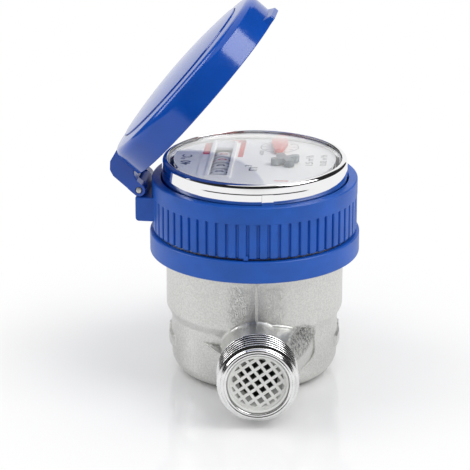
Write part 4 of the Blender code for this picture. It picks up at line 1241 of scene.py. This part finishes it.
def lid_outside(rise):
    """Half section of the lid's dome, its fine groove, shoulder and rim."""
    groove, half, deep = LID_R - 7.0, 0.22, 0.4
    ledge = LID_TOP + 0.8
    swell = LID_TOP + rise - ledge - 0.35
    ball = (groove * groove + swell * swell) / (2 * swell)
    corners = [
        (0.0, LID_TOP),
        (groove - 0.25, ledge + 0.35),
        (groove - half, ledge - deep),
        (groove + half, ledge - deep),
        (groove + 0.25, ledge, 0.12),
        (LID_R, LID_TOP, 3.0),
        (LID_R, LID_LOW, 0.35),
        (LID_R - LID_WALL, LID_LOW, 0.2),
        (LID_R - LID_WALL, LID_TOP - LID_WALL, 1.6),
        (0.0, LID_TOP - LID_WALL),
    ]
    return cap_curve(LID_TOP + rise, groove - 0.3, ball, 24) + rounded(corners, 8)[1:-1]


def lid_inside(rise):
    """Points of the lid's hollow, from near its rim to the middle."""
    start, steps = LID_R - 3.4, 10
    points = []
    for step in range(steps + 1):
        radius = start * (steps - step) / steps
        share = radius / (LID_R - LID_WALL)
        points.append((radius, LID_TOP - LID_WALL + rise * (1 - share ** 2)))
    return points


def lid_shell():
    """Lid turned closed."""
    rise = 3.0
    return lathe("lid_cap", lid_outside(rise) + lid_inside(rise), 256)


def lid_arm():
    """Arm with the two ears that the hinge pin goes through, drawn round the pin."""
    low_z = LID_LOW - HINGE.z
    roof = LID_TOP - HINGE.z
    rim = -LID_R - HINGE.x
    under = KNUCKLE_R + GAP
    outline = [
        (-EAR_R, under), (-EAR_R, roof - 5.0, 1.0), (-1.2, roof - 2.8, 1.0), (1.1, roof - 1.0, 0.8),
        (rim + 2.6, roof - 0.1), (rim + 2.6, low_z + 3.0), (rim - 0.4, low_z + 0.1),
        (EAR_R, under),
    ]
    arm = prism("lid_arm", rounded(outline, 5), -HINGE_HALF, HINGE_HALF, axes="xzy")
    eased(arm, 0.3)
    for side in SIDES:
        points = []
        for y in (side * (KNUCKLE_HALF + GAP), side * HINGE_HALF):
            points += oval((0.0, y, 0.0), EAR_R, EAR_R, 48)
            points += [(-EAR_R, y, under + 0.6), (EAR_R, y, under + 0.6)]
        join(arm, hull("lid_ear", points))
    return shifted(arm, *HINGE)


def thumb_lip():
    """Lip on the lid's free edge, narrower towards its tip."""
    base, out, half, taper = LID_R - 1.4, LID_R + 1.8, 7.5, 0.72
    points = []
    for y in (-half, half):
        points += [(base, y, LID_LOW), (base, y, LID_LOW + 3.4)]
        points += [(out, y * taper, LID_LOW + 0.3), (out, y * taper, LID_LOW + 1.8)]
    return eased(hull("thumb_lip", points), 0.35)


def make_lid():
    lid = join(lid_shell(), lid_arm(), thumb_lip())
    cut(lid, rod("lid_space", LID_R - LID_WALL, LID_TOP - 3.5, LID_LOW - 1.0, 256))
    cut(lid, pin_hole(12.0))
    about = Matrix.Translation(HINGE * MM)
    swing = about @ Matrix.Rotation(-LID_OPEN, 4, "Y") @ about.inverted()
    lid.data.transform(INTO_HEAD @ swing)
    return place_piece(lid, "lid", glossy_blue(), ["lid"], 30)


def make_pin():
    """Plain pin through the knuckle and both ears."""
    half = HINGE_HALF + 0.3
    profile = rounded([(0.0, -half), (PIN_R, -half, 0.3), (PIN_R, half, 0.3), (0.0, half)], 4)
    pin = lathe("pin_rod", profile, 32)
    pin.data.transform(INTO_HEAD @ along_y(HINGE.x, HINGE.z))
    return place_piece(pin, "head", pin_steel(), ["hinge_pin"])


# The register.


def make_bezel():
    """Ring over the crystal's clamped edge, with its lug towards the collar."""
    inner, lip = BEZEL_R - 0.9, BEZEL_R - 1.9
    lip_low = CRYSTAL_LOW + 2.2
    step = BEZEL_LOW + 1.2
    ring = lathe("bezel_band", rounded([
        (inner, BEZEL_LOW),
        (inner, lip_low),
        (lip, lip_low, 0.1),
        (lip, BEZEL_TOP, 0.28),
        (BEZEL_R - 0.15, BEZEL_TOP - 0.15, 1.25),
        (BEZEL_R - 0.05, DIAL_TOP + 0.05, 0.2),
        (BEZEL_R, DIAL_TOP - 0.3, 0.2),
        (BEZEL_R, step),
        (BEZEL_FOOT_R, step),
        (BEZEL_FOOT_R, BEZEL_LOW),
    ], 8), 320)
    outline = box_outline(-2.0, 2.0, COLLAR_TOP - 1.0, DIAL_TOP)
    lug = eased(prism("lug", outline, BEZEL_R - 0.5, BEZEL_R + 0.3, axes="yzx"), 0.12, 2)
    join(ring, turned(lug, math.radians(-78.5)))
    ring.data.transform(INTO_DIAL)
    return place_piece(ring, "head", plated(), ["bezel_ring"], 25)


def make_crystal():
    """Clear crystal: an even wall that domes up from its clamped edge."""
    rim_top = CRYSTAL_TOP - CRYSTAL_RISE - 0.3
    ball = (CRYSTAL_EDGE_R ** 2 + CRYSTAL_RISE ** 2) / (2 * CRYSTAL_RISE)
    outside = cap_curve(CRYSTAL_TOP, CRYSTAL_EDGE_R, ball, 32)
    hollow, hollow_r = ball - CRYSTAL_THICK, CRYSTAL_EDGE_R - 2.0
    inside = cap_curve(CRYSTAL_TOP - CRYSTAL_THICK, hollow_r, hollow, 32)[::-1]
    edge = [(CRYSTAL_EDGE_R, rim_top), (CRYSTAL_R, rim_top), (CRYSTAL_R, CRYSTAL_LOW)]
    edge.append((CRYSTAL_EDGE_R - 1.0, CRYSTAL_LOW))
    crystal = lathe("domed_crystal", outside + edge + inside, 192)
    crystal.visible_shadow = False
    crystal.visible_diffuse = False
    return place_piece(crystal, "head", clear_crystal(), ["crystal"], 25)


def gathered(name, parts):
    """One object that holds the meshes of several, each left as it is."""
    bm = bmesh.new()
    for part in parts:
        bm.from_mesh(part.data)
        bpy.data.objects.remove(part)
    return meshed(name, bm)


FONT_SIZE = 1.38  # size of the letters over the height of a number
INK = 0.02  # thickness of the printing in millimetres


def words(text, tall, heavy=0.0):
    """Numbers or units as a thin solid of this height, flat and centred on the origin."""
    curve = bpy.data.curves.new("words", "FONT")
    curve.body = text
    curve.size = tall * FONT_SIZE
    curve.offset = heavy
    curve.extrude = INK / 2
    curve.align_x = "CENTER"
    curve.align_y = "CENTER"
    curve.resolution_u = 3
    holder = linked("words", curve)
    graph = bpy.context.evaluated_depsgraph_get()
    mesh = bpy.data.meshes.new_from_object(holder.evaluated_get(graph))
    bpy.data.objects.remove(holder)
    return linked("words", mesh)


def printed(text, tall, x, y, heavy=0.0):
    """Words on the dial. They read from the +X side, so their lines run towards +Y."""
    made = words(text, tall, heavy)
    spot = Matrix.Translation(Vector((x, y, DIAL_TOP + INK / 2)))
    made.data.transform(Matrix.Scale(MM, 4) @ spot @ Matrix.Rotation(math.pi / 2, 4, "Z"))
    return made


def printed_shape(outline):
    return prism("line", outline, DIAL_TOP, DIAL_TOP + INK)


FRAME_NEAR = DRUM_ROW_Y - DRUM_ROW_HALF - 1.2
FRAME_FAR = DRUM_ROW_Y + DRUM_ROW_HALF + 1.2
# Rectangles round the drums: left and right of the row, near and far on the dial, corner radius.
COUNTER_FRAME = (-7.0, 4.2, FRAME_NEAR, 7.4, 0.6)
WINDOW_BEAD = (-4.3, 4.1, FRAME_NEAR + 0.5, 22.6, 0.5)
BEAD_INSIDE = (-3.2, 3.0, FRAME_NEAR + 1.2, 21.8, 0.3)
WINDOW = (-3.0, 3.0, FRAME_NEAR + 1.2, FRAME_FAR - 1.2, 0.3)


def row_block(name, sides, start, end):
    """Block over a rectangle round the drums, between two heights from the dial's top."""
    left, right, near, far, radius = sides
    outline = box_outline(DRUM_ROW_X + left, DRUM_ROW_X + right, near, far, radius)
    return prism(name, outline, DIAL_TOP + start, DIAL_TOP + end)


def make_dial_plate():
    """Plate with the counter window, the raised frames round it and the two shaft holes."""
    plate = lathe("dial_face", rounded([
        (0.0, DIAL_TOP), (DIAL_R, DIAL_TOP, 0.15), (DIAL_R, DIAL_LOW), (0.0, DIAL_LOW)
    ], 3), 160)
    join(plate, eased(row_block("counter_frame", COUNTER_FRAME, -0.3, 0.3), 0.12, 2))
    join(plate, eased(row_block("window_bead", WINDOW_BEAD, -0.3, 0.7), 0.2))
    cut(plate, row_block("bead_inside", BEAD_INSIDE, 0.1, 2.0))
    cut(plate, row_block("window", WINDOW, -5.0, 2.0))
    for name in ("flow_star_spin", "pointer_spin"):
        spot = dial_point(name)
        cut(plate, shifted(rod("hole", 1.2, 60.0, 80.0, 32), spot.x, spot.y))
    plate.data.transform(INTO_DIAL)
    finish = plain_plastic("dial_white", tuple(colours().dial), 0.3, 0.006, 0.02)
    return place_piece(plate, "head", finish, ["dial_plate"], 25)


# Words on the dial: text, height, place and how heavy they are.
DIAL_WORDS = (
    ("m³", 4.4, -0.6, -5.5),
    ("1.5 m³/h", 2.5, 18.0, 3.6),
    ("0.03 m³/h", 2.2, 22.6, 4.2),
    ("x0.001", 1.5, 1.6, 11.6),
    ("40 °C", 3.4, -22.6, 1.6, 0.08),
)
# The litre scale: radii of its circle, its ticks and its digits, and the digits' height.
SCALE_CIRCLE = (6.2, 6.42)
SCALE_TICK = (-6.25, -5.85, -0.08, 0.08)
SCALE_DIGIT_R = 5.0
SCALE_DIGIT = 1.25


def litre_scale():
    """Circle with ten ticks and digits round the pointer's shaft."""
    spot = dial_point("pointer_spin")
    inner, outer = SCALE_CIRCLE
    ring = lathe("scale_ring", box_outline(inner, outer, DIAL_TOP, DIAL_TOP + INK), 96)
    parts = [shifted(ring, spot.x, spot.y)]
    for digit in range(10):
        angle = -2 * math.pi * digit / 10
        x = spot.x - SCALE_DIGIT_R * math.cos(angle)
        y = spot.y - SCALE_DIGIT_R * math.sin(angle)
        parts.append(printed(str(digit), SCALE_DIGIT, x, y))
        tick = turned(printed_shape(box_outline(*SCALE_TICK)), angle)
        parts.append(shifted(tick, spot.x, spot.y))
    return parts


def place_printing(name, parts, finish):
    marks = gathered(name, parts)
    marks.data.transform(INTO_DIAL)
    return place_piece(marks, "head", finish)


def make_dial_printing():
    """Dark printing: units, flow figures and the litre scale round the pointer."""
    ink = plain_plastic("print_ink", tuple(colours().print_ink), 0.5, 0.004, 0.08)
    parts = [printed(*line) for line in DIAL_WORDS] + litre_scale()
    return place_printing("dial_printing", parts, ink)


def make_decimal_frame():
    """Red lines round the drums that count parts of a cubic metre."""
    left, right = DRUM_ROW_X - 4.6, DRUM_ROW_X + 5.0
    near, inner, outer = 6.2, 24.0, 27.4
    parts = [
        printed_shape(box_outline(left - 2.2, left, near + 1.5, 21.4)),
        printed_shape(arc(outer, 129.0, 100.5, 16) + arc(inner, 101.0, 131.0, 16)),
        printed_shape(box_outline(right, right + 1.7, near, 25.4)),
        printed_shape(box_outline(7.4, 12.0, -18.6, -18.1)),
    ]
    red = plain_plastic("print_red", tuple(colours().pointer), 0.5, 0.004, 0.08)
    return place_printing("decimal_frame", parts, red)


DRUM_HALF = DRUM_PITCH / 2 - 0.2
DRUM_CORE_R = DRUM_R - 1.0
DIGIT_TALL = 3.0
RED_DRUMS_AFTER = 3


def drum_body():
    """Wheel with a white tyre on a narrower core, laid along Y. The core is painted dark: painted
    shade for the gaps between the drums.
    """
    tyre = DRUM_HALF - 0.65
    drum = lathe("drum", rounded([
        (PIN_R, -DRUM_HALF), (PIN_R, DRUM_HALF), (DRUM_CORE_R, DRUM_HALF), (DRUM_CORE_R, tyre),
        (DRUM_R, tyre, 0.2), (DRUM_R, -tyre, 0.2), (DRUM_CORE_R, -tyre), (DRUM_CORE_R, -DRUM_HALF),
    ], 3), 96)
    limit = (DRUM_CORE_R + 0.05) * MM
    # Faces of the core, which get the painted shade that stands for the shadow in the gaps between
    # the drums.
    dark = [face.center.xy.length < limit for face in drum.data.polygons]
    drum.data.transform(Matrix(((1, 0, 0, 0), (0, 0, -1, 0), (0, 1, 0, 0), (0, 0, 0, 1))))
    return drum, dark


def drum_digit(digit):
    """Digit wrapped round the tyre, a tenth of a turn on from the digit before."""
    made = words(str(digit), DIGIT_TALL, 0.10)
    bm = bmesh.new()
    bm.from_mesh(made.data)
    for step in range(-4, 5):
        flat = bm.verts[:] + bm.edges[:] + bm.faces[:]
        bmesh.ops.bisect_plane(bm, geom=flat, plane_co=(0, step * 0.45, 0), plane_no=(0, 1, 0))
    start = math.radians(36 * digit)
    for point in bm.verts:
        across, up, out = point.co
        angle = start + up / DRUM_R
        away = DRUM_R + out + INK / 2
        point.co = (-away * math.sin(angle), across, away * math.cos(angle))
    bm.to_mesh(made.data)
    bm.free()
    made.data.transform(Matrix.Scale(MM, 4))
    return made


def make_drum(number):
    """Number drum with its ten digits wrapped round it."""
    drum, dark = drum_body()
    digits = [drum_digit(digit) for digit in range(10)]
    whole = gathered("number_drum_%d" % number, [drum, *digits])
    if number > RED_DRUMS_AFTER:
        ink = plain_plastic("drum_ink_red", srgb(176, 34, 34), 0.45, 0.004, 0.1)
    else:
        ink = plain_plastic("drum_ink", srgb(24, 24, 26), 0.45, 0.004, 0.1)
    tyre = plain_plastic("drum_white", srgb(214, 214, 210), 0.35, 0.01, 0.03)
    # The core's near-black is painted shade for the gaps between the drums, not the plastic's own
    # colour.
    painted_shade_core = plain_plastic("drum_core", srgb(34, 34, 36), 0.5, 0.01, 0.1)
    for finish in (tyre, ink, painted_shade_core):
        whole.data.materials.append(finish)
    # Core faces get the painted shade, the digits the ink and the tyre its white.
    index = [2 if part else 0 for part in dark] + [1] * (len(whole.data.polygons) - len(dark))
    whole.data.polygons.foreach_set("material_index", index)
    spot = dial_point("drum_%d_spin" % number)
    whole.data.transform(INTO_DIAL @ Matrix.Translation(spot * MM))
    body = "drum_%d" % number
    return place_piece(whole, body, None, ["digit_" + body], 30)


def make_drums():
    for number in range(1, DRUM_COUNT + 1):
        make_drum(number)


# Circles that the pointer and an arm of the flow star run round: (place along it, radius).
POINTER_CIRCLES = ((3.4, 2.6), (0.0, 2.7), (-7.4, 1.5))
STAR_CIRCLES = ((0.5, 1.0), (3.6, 1.4))
STAR_HUB_R = 1.9
STAR_THICK = 1.9
STAR_TURN = 28


def make_pointer():
    """Litre pointer: a round hub that runs out to a blunt tip."""
    spot = dial_point("pointer_spin")
    base, top = low("litre_pointer"), high("litre_pointer") + 0.15
    points = []
    for level in (base, top):
        for along, radius in POINTER_CIRCLES:
            points += circle(spot.x, spot.y + along, level, radius, 40)
    pointer = eased(hull("pointer_arm", points), 0.3)
    pointer.data.transform(INTO_DIAL)
    red = plain_plastic("pointer_red", tuple(colours().pointer), 0.34, 0.01, 0.05)
    return place_piece(pointer, "pointer", red, ["litre_pointer"])


def lower_part(node, height):
    """Copy of a CAD node's mesh with what stands above this height taken off."""
    bm = bmesh.new()
    bm.from_mesh(frame["nodes"][node].data)
    bmesh.ops.remove_doubles(bm, verts=bm.verts, dist=1e-7)
    flat = bm.verts[:] + bm.edges[:] + bm.faces[:]
    cut_edge = bmesh.ops.bisect_plane(
        bm, geom=flat, plane_co=(0, 0, height * MM), plane_no=(0, 0, 1), clear_outer=True
    )["geom_cut"]
    rim = [item for item in cut_edge if isinstance(item, bmesh.types.BMEdge)]
    bmesh.ops.holes_fill(bm, edges=rim)
    bmesh.ops.scale(bm, vec=(1 / MM, 1 / MM, 1 / MM), verts=bm.verts)
    return piece(node + "_lower", bm)


def make_flow_star():
    """Flow star over the dial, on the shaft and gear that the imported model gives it."""
    spot = joint_place("flow_star_spin")
    top = high("flow_star")
    base = top - STAR_THICK
    star = lathe("flow_star_wheel", rounded([
        (0.0, base), (STAR_HUB_R, base), (STAR_HUB_R, top, 0.3), (0.0, top)
    ], 3), 48)
    for arm in range(4):
        points = []
        for level in (base, top):
            for away, radius in STAR_CIRCLES:
                points += circle(away, 0.0, level, radius, 32)
        angle = math.radians(STAR_TURN + 90 * arm) + DIAL_TURN
        join(star, turned(eased(hull("star_arm", points), 0.3), angle))
    shifted(star, spot.x, spot.y)
    join(star, lower_part("flow_star", base + 0.4))
    grey = plain_plastic("star_grey", tuple(colours().star), 0.33, 0.01, 0.05)
    return place_piece(star, "flow_star", grey, ["flow_star"])


KEPT_NODES = {
    "chamber_pivot": "pin",
    "drum_axle": "pin",
    "impeller": "white",
    "pressure_plate": "white",
    "register_can": "white",
    "movement_plate": "movement",
    "first_gear": "movement",
    "second_gear": "movement",
    "pointer_gear": "movement",
    "magnet_follower": "magnet",
    "plate_seal": "rubber",
    "capsule_gasket": "rubber",
}


def finish_kept_nodes():
    """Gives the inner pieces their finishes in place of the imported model's plain ones."""
    finishes = {
        "pin": pin_steel(),
        "white": plain_plastic("moulded_white", srgb(226, 226, 222), 0.42, 0.02, 0.03),
        "movement": plain_plastic("movement_plastic", srgb(206, 200, 184), 0.4, 0.02, 0.05),
        "magnet": magnet_metal(),
        "rubber": black_rubber(),
    }
    for node, finish in KEPT_NODES.items():
        kept = frame["nodes"][node].data
        kept.materials.clear()
        kept.materials.append(finishes[finish])


# The stage. Its sizes are in metres and those of the floor's tones in millimetres.

WHITE = (1.0, 1.0, 1.0, 1.0)
FILL_LIGHT = 0.8
SHEET_BRIGHT = (-420.0, -280.0)
SHEET_WHITE = (40.0, 128.0)
HALL_TURN = 150.0
LAMPS = {
    "right_box": {"place": (0.64, -0.23, 0.80), "size": (0.6, 0.6), "face": 6.5, "light": 3.4},
    "left_box": {"place": (-0.78, 0.14, 0.68), "size": (0.4, 0.9), "face": 4.6, "light": 2.2},
}
LAMPS_AIM = (0.0, 0.0, 0.06)
CAMERA = {"away": 0.8, "up": 0.3312, "lens": 194.28, "sensor": 36.0}
CAMERA_ANGLES = {"round": -1.3, "tilt": 70.43, "pan": 0.47}


def seen_straight(graph):
    """1 for rays from the camera, in gloss and through clear pieces, else 0."""
    path = graph.node("ShaderNodeLightPath", output="Is Camera Ray")
    seen = path + graph.other(path, "Is Glossy Ray") + graph.other(path, "Is Transmission Ray")
    return seen.rise(0.0, 1.0)


def light_world():
    """White surroundings: full white to the camera, to gloss and through clear pieces."""
    world = bpy.data.worlds.new("studio")
    bpy.context.scene.world = world
    graph = cleared(world)
    strength = seen_straight(graph) * (1.0 - FILL_LIGHT) + FILL_LIGHT
    back = graph.node("ShaderNodeBackground", values={"Color": WHITE, "Strength": strength})
    graph.node("ShaderNodeOutputWorld", values={"Surface": back})


def floor_finish():
    """White sheet, soft grey near the meter and white beyond.

    What lies far in front is dark in gloss and in the light it throws back, not to the camera.
    """
    made = bpy.data.materials.new("white_sheet")
    graph = cleared(made)
    place = graph.place()
    x, y, _ = graph.parts(place)
    camera = graph.node("ShaderNodeLightPath", output="Is Camera Ray")
    lit = 1.0 - (1.0 - y.rise(*SHEET_BRIGHT)) * (1.0 - camera)
    tone = graph.blend(lit, (0.02, 0.02, 0.02), (0.90, 0.90, 0.90))
    rough = 0.06 + graph.noise(place, 0.01, 2.0) * 0.04
    values = {"Base Color": tone, "Roughness": rough, "IOR": 1.35}
    sheet = graph.node("ShaderNodeBsdfPrincipled", values=values)
    white = graph.node("ShaderNodeEmission", values={"Color": WHITE, "Strength": 1.0})
    away = ((x ** 2.0 + y ** 2.0) ** 0.5).rise(*SHEET_WHITE)
    factor = away * lit * seen_straight(graph)
    whole = graph.node("ShaderNodeMixShader", values={0: factor, 1: sheet, 2: white})
    graph.node("ShaderNodeOutputMaterial", values={"Surface": whole})
    return made


def plain_sheet(name, points, faces, finish):
    mesh = bpy.data.meshes.new(name)
    mesh.from_pydata([Vector(point) for point in points], [], faces)
    mesh.materials.append(finish)
    made = linked(name, mesh)
    return made


def add_floor():
    corners = [(x, y, 0.0) for x, y in box_outline(-3.0, 3.0, -3.0, 4.0)]
    plain_sheet("studio_floor", corners, [(0, 1, 2, 3)], floor_finish())


def add_dark_hall():
    """Dark hall round the front and overhead, which shows only in gloss. Its near-black is a
    painted reflection of shade: the unlit surroundings that the metal and glass mirror.
    """
    # Near-black sheets seen only in gloss: painted reflection of the unlit surroundings.
    hall_shade_finish = plain_plastic("hall_painted_shade", (0.02, 0.02, 0.02), 0.9, 0.0, 0.1)
    reach, tall, steps = 1.5, 1.5, 24
    points, faces = [], []
    for step in range(steps + 1):
        angle = math.radians(-HALL_TURN + 2 * HALL_TURN * step / steps)
        spot = (reach * math.sin(angle), -reach * math.cos(angle))
        points += [(*spot, 0.0), (*spot, tall)]
        if step:
            faces.append((2 * step - 2, 2 * step, 2 * step + 1, 2 * step - 1))
    walls = plain_sheet("hall_walls", points, faces, hall_shade_finish)
    far, gap, front = 2.2, 0.6, -0.6  # the gap in the ceiling lets the light in from behind
    spots = [(-far, -far), (far, -far), (far, front), (far, far), (gap, far), (gap, front)]
    spots += [(-gap, front), (-gap, far), (-far, far), (-far, front)]
    roof = [(x, y, tall) for x, y in spots]
    ceiling = plain_sheet("hall_ceiling", roof, [(0, 1, 2, 9), (5, 2, 3, 4), (9, 6, 7, 8)], hall_shade_finish)
    for sheet in (walls, ceiling):
        sheet.visible_camera = False
        sheet.visible_diffuse = False
        sheet.visible_transmission = False
        sheet.visible_shadow = False


HALL_TURN = 150.0
LAMPS = {
    "right_box": {"place": (0.64, -0.23, 0.80), "size": (0.6, 0.6), "face": 6.5, "light": 3.4},
    "left_box": {"place": (-0.78, 0.14, 0.68), "size": (0.4, 0.9), "face": 4.6, "light": 2.2},
}


def add_lamps():
    """Two soft boxes. The face shows in gloss and the light falls on the rest."""
    for name, setting in LAMPS.items():
        for part in ("face", "light"):
            data = bpy.data.lights.new(name + "_" + part, "AREA")
            data.shape = "RECTANGLE"
            data.size, data.size_y = setting["size"]
            data.energy = setting[part] * math.pi * data.size * data.size_y
            lamp = linked(data.name, data)
            lamp.location = setting["place"]
            aim = Vector(LAMPS_AIM) - lamp.location
            lamp.rotation_euler = aim.to_track_quat("-Z", "Y").to_euler()
            lamp.visible_diffuse = part == "light"
            lamp.visible_glossy = part == "face"


def add_camera():
    """Camera at the photograph's viewing angle."""
    data = bpy.data.cameras.new("camera")
    data.lens, data.sensor_width = CAMERA["lens"], CAMERA["sensor"]
    camera = linked("camera", data)
    angles = {name: math.radians(angle) for name, angle in CAMERA_ANGLES.items()}
    turn, away = angles["round"], CAMERA["away"]
    camera.location = (math.sin(turn) * away, -math.cos(turn) * away, CAMERA["up"])
    camera.rotation_euler = (angles["tilt"], 0.0, angles["pan"] + turn)
    bpy.context.scene.camera = camera


def make_stage():
    bpy.context.scene.view_settings.view_transform = "Standard"
    light_world()
    add_floor()
    add_dark_hall()
    add_lamps()
    add_camera()


# Operators, panel and run.


class MeterOperator(bpy.types.Operator):
    """What the operators below share: they call their makers in order and can be undone."""

    bl_options = {"REGISTER", "UNDO"}
    makers = ()

    def execute(self, context):
        for make in self.makers:
            make()
        return {"FINISHED"}


class WATER_METER_OT_stage(MeterOperator):
    """Floor, surroundings, lamps and camera"""

    bl_idname = "water_meter.stage"
    bl_label = "Stage"
    makers = (make_stage,)


class WATER_METER_OT_casting(MeterOperator):
    """Body casting with its swept bosses, gussets, parting lines and flow arrows"""

    bl_idname = "water_meter.casting"
    bl_label = "Body Casting"
    makers = (make_casting,)


class WATER_METER_OT_port_ends(MeterOperator):
    """Machined and threaded ends of the two ports"""

    bl_idname = "water_meter.port_ends"
    bl_label = "Port Ends"
    makers = (make_port_ends,)


class WATER_METER_OT_strainer(MeterOperator):
    """Strainer in the inlet mouth"""

    bl_idname = "water_meter.strainer"
    bl_label = "Inlet Strainer"
    makers = (make_strainer,)


class WATER_METER_OT_head(MeterOperator):
    """Lock band, ribbed collar and hinge pin"""

    bl_idname = "water_meter.head"
    bl_label = "Collar and Band"
    makers = (make_band, make_collar, make_pin)


class WATER_METER_OT_lid(MeterOperator):
    """Hinged lid with its arm and thumb lip"""

    bl_idname = "water_meter.lid"
    bl_label = "Lid"
    makers = (make_lid,)


class WATER_METER_OT_window(MeterOperator):
    """Bezel ring and domed crystal"""

    bl_idname = "water_meter.window"
    bl_label = "Bezel and Crystal"
    makers = (make_bezel, make_crystal)


class WATER_METER_OT_dial(MeterOperator):
    """Dial plate with its counter window and printing"""

    bl_idname = "water_meter.dial"
    bl_label = "Dial"
    makers = (make_dial_plate, make_dial_printing, make_decimal_frame)


class WATER_METER_OT_drums(MeterOperator):
    """Number drums"""

    bl_idname = "water_meter.drums"
    bl_label = "Number Drums"
    makers = (make_drums,)


class WATER_METER_OT_hands(MeterOperator):
    """Litre pointer and flow star"""

    bl_idname = "water_meter.hands"
    bl_label = "Pointer and Star"
    makers = (make_pointer, make_flow_star)


class WATER_METER_OT_kept_nodes(MeterOperator):
    """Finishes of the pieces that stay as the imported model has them"""

    bl_idname = "water_meter.kept_nodes"
    bl_label = "Inner Pieces"
    makers = (finish_kept_nodes,)


OPERATORS = (
    WATER_METER_OT_stage,
    WATER_METER_OT_casting,
    WATER_METER_OT_port_ends,
    WATER_METER_OT_strainer,
    WATER_METER_OT_head,
    WATER_METER_OT_lid,
    WATER_METER_OT_window,
    WATER_METER_OT_dial,
    WATER_METER_OT_drums,
    WATER_METER_OT_hands,
    WATER_METER_OT_kept_nodes,
)


class WATER_METER_PT_panel(bpy.types.Panel):
    """Sizes, colours and makers of the water meter"""

    bl_idname = "WATER_METER_PT_panel"
    bl_label = "Water Meter"
    bl_space_type = "VIEW_3D"
    bl_region_type = "UI"
    bl_category = "Water Meter"

    def draw(self, context):
        layout = self.layout
        for group in (context.scene.water_meter_sizes, context.scene.water_meter_colours):
            column = layout.column(align=True)
            for name in group.__annotations__:
                column.prop(group, name)
        for operator in OPERATORS:
            layout.operator(operator.bl_idname)


CLASSES = (MeterSizes, MeterColours, *OPERATORS, WATER_METER_PT_panel)


def register():
    for item in CLASSES:
        bpy.utils.register_class(item)
    bpy.types.Scene.water_meter_sizes = bpy.props.PointerProperty(type=MeterSizes)
    bpy.types.Scene.water_meter_colours = bpy.props.PointerProperty(type=MeterColours)


def unregister():
    del bpy.types.Scene.water_meter_colours
    del bpy.types.Scene.water_meter_sizes
    for item in reversed(CLASSES):
        bpy.utils.unregister_class(item)


def main():
    register()
    for operator in OPERATORS:
        group, name = operator.bl_idname.split(".")
        result = getattr(getattr(bpy.ops, group), name)()
        if result != {"FINISHED"}:
            raise RuntimeError(operator.bl_idname + " didn't finish")


if __name__ == "__main__":
    main()
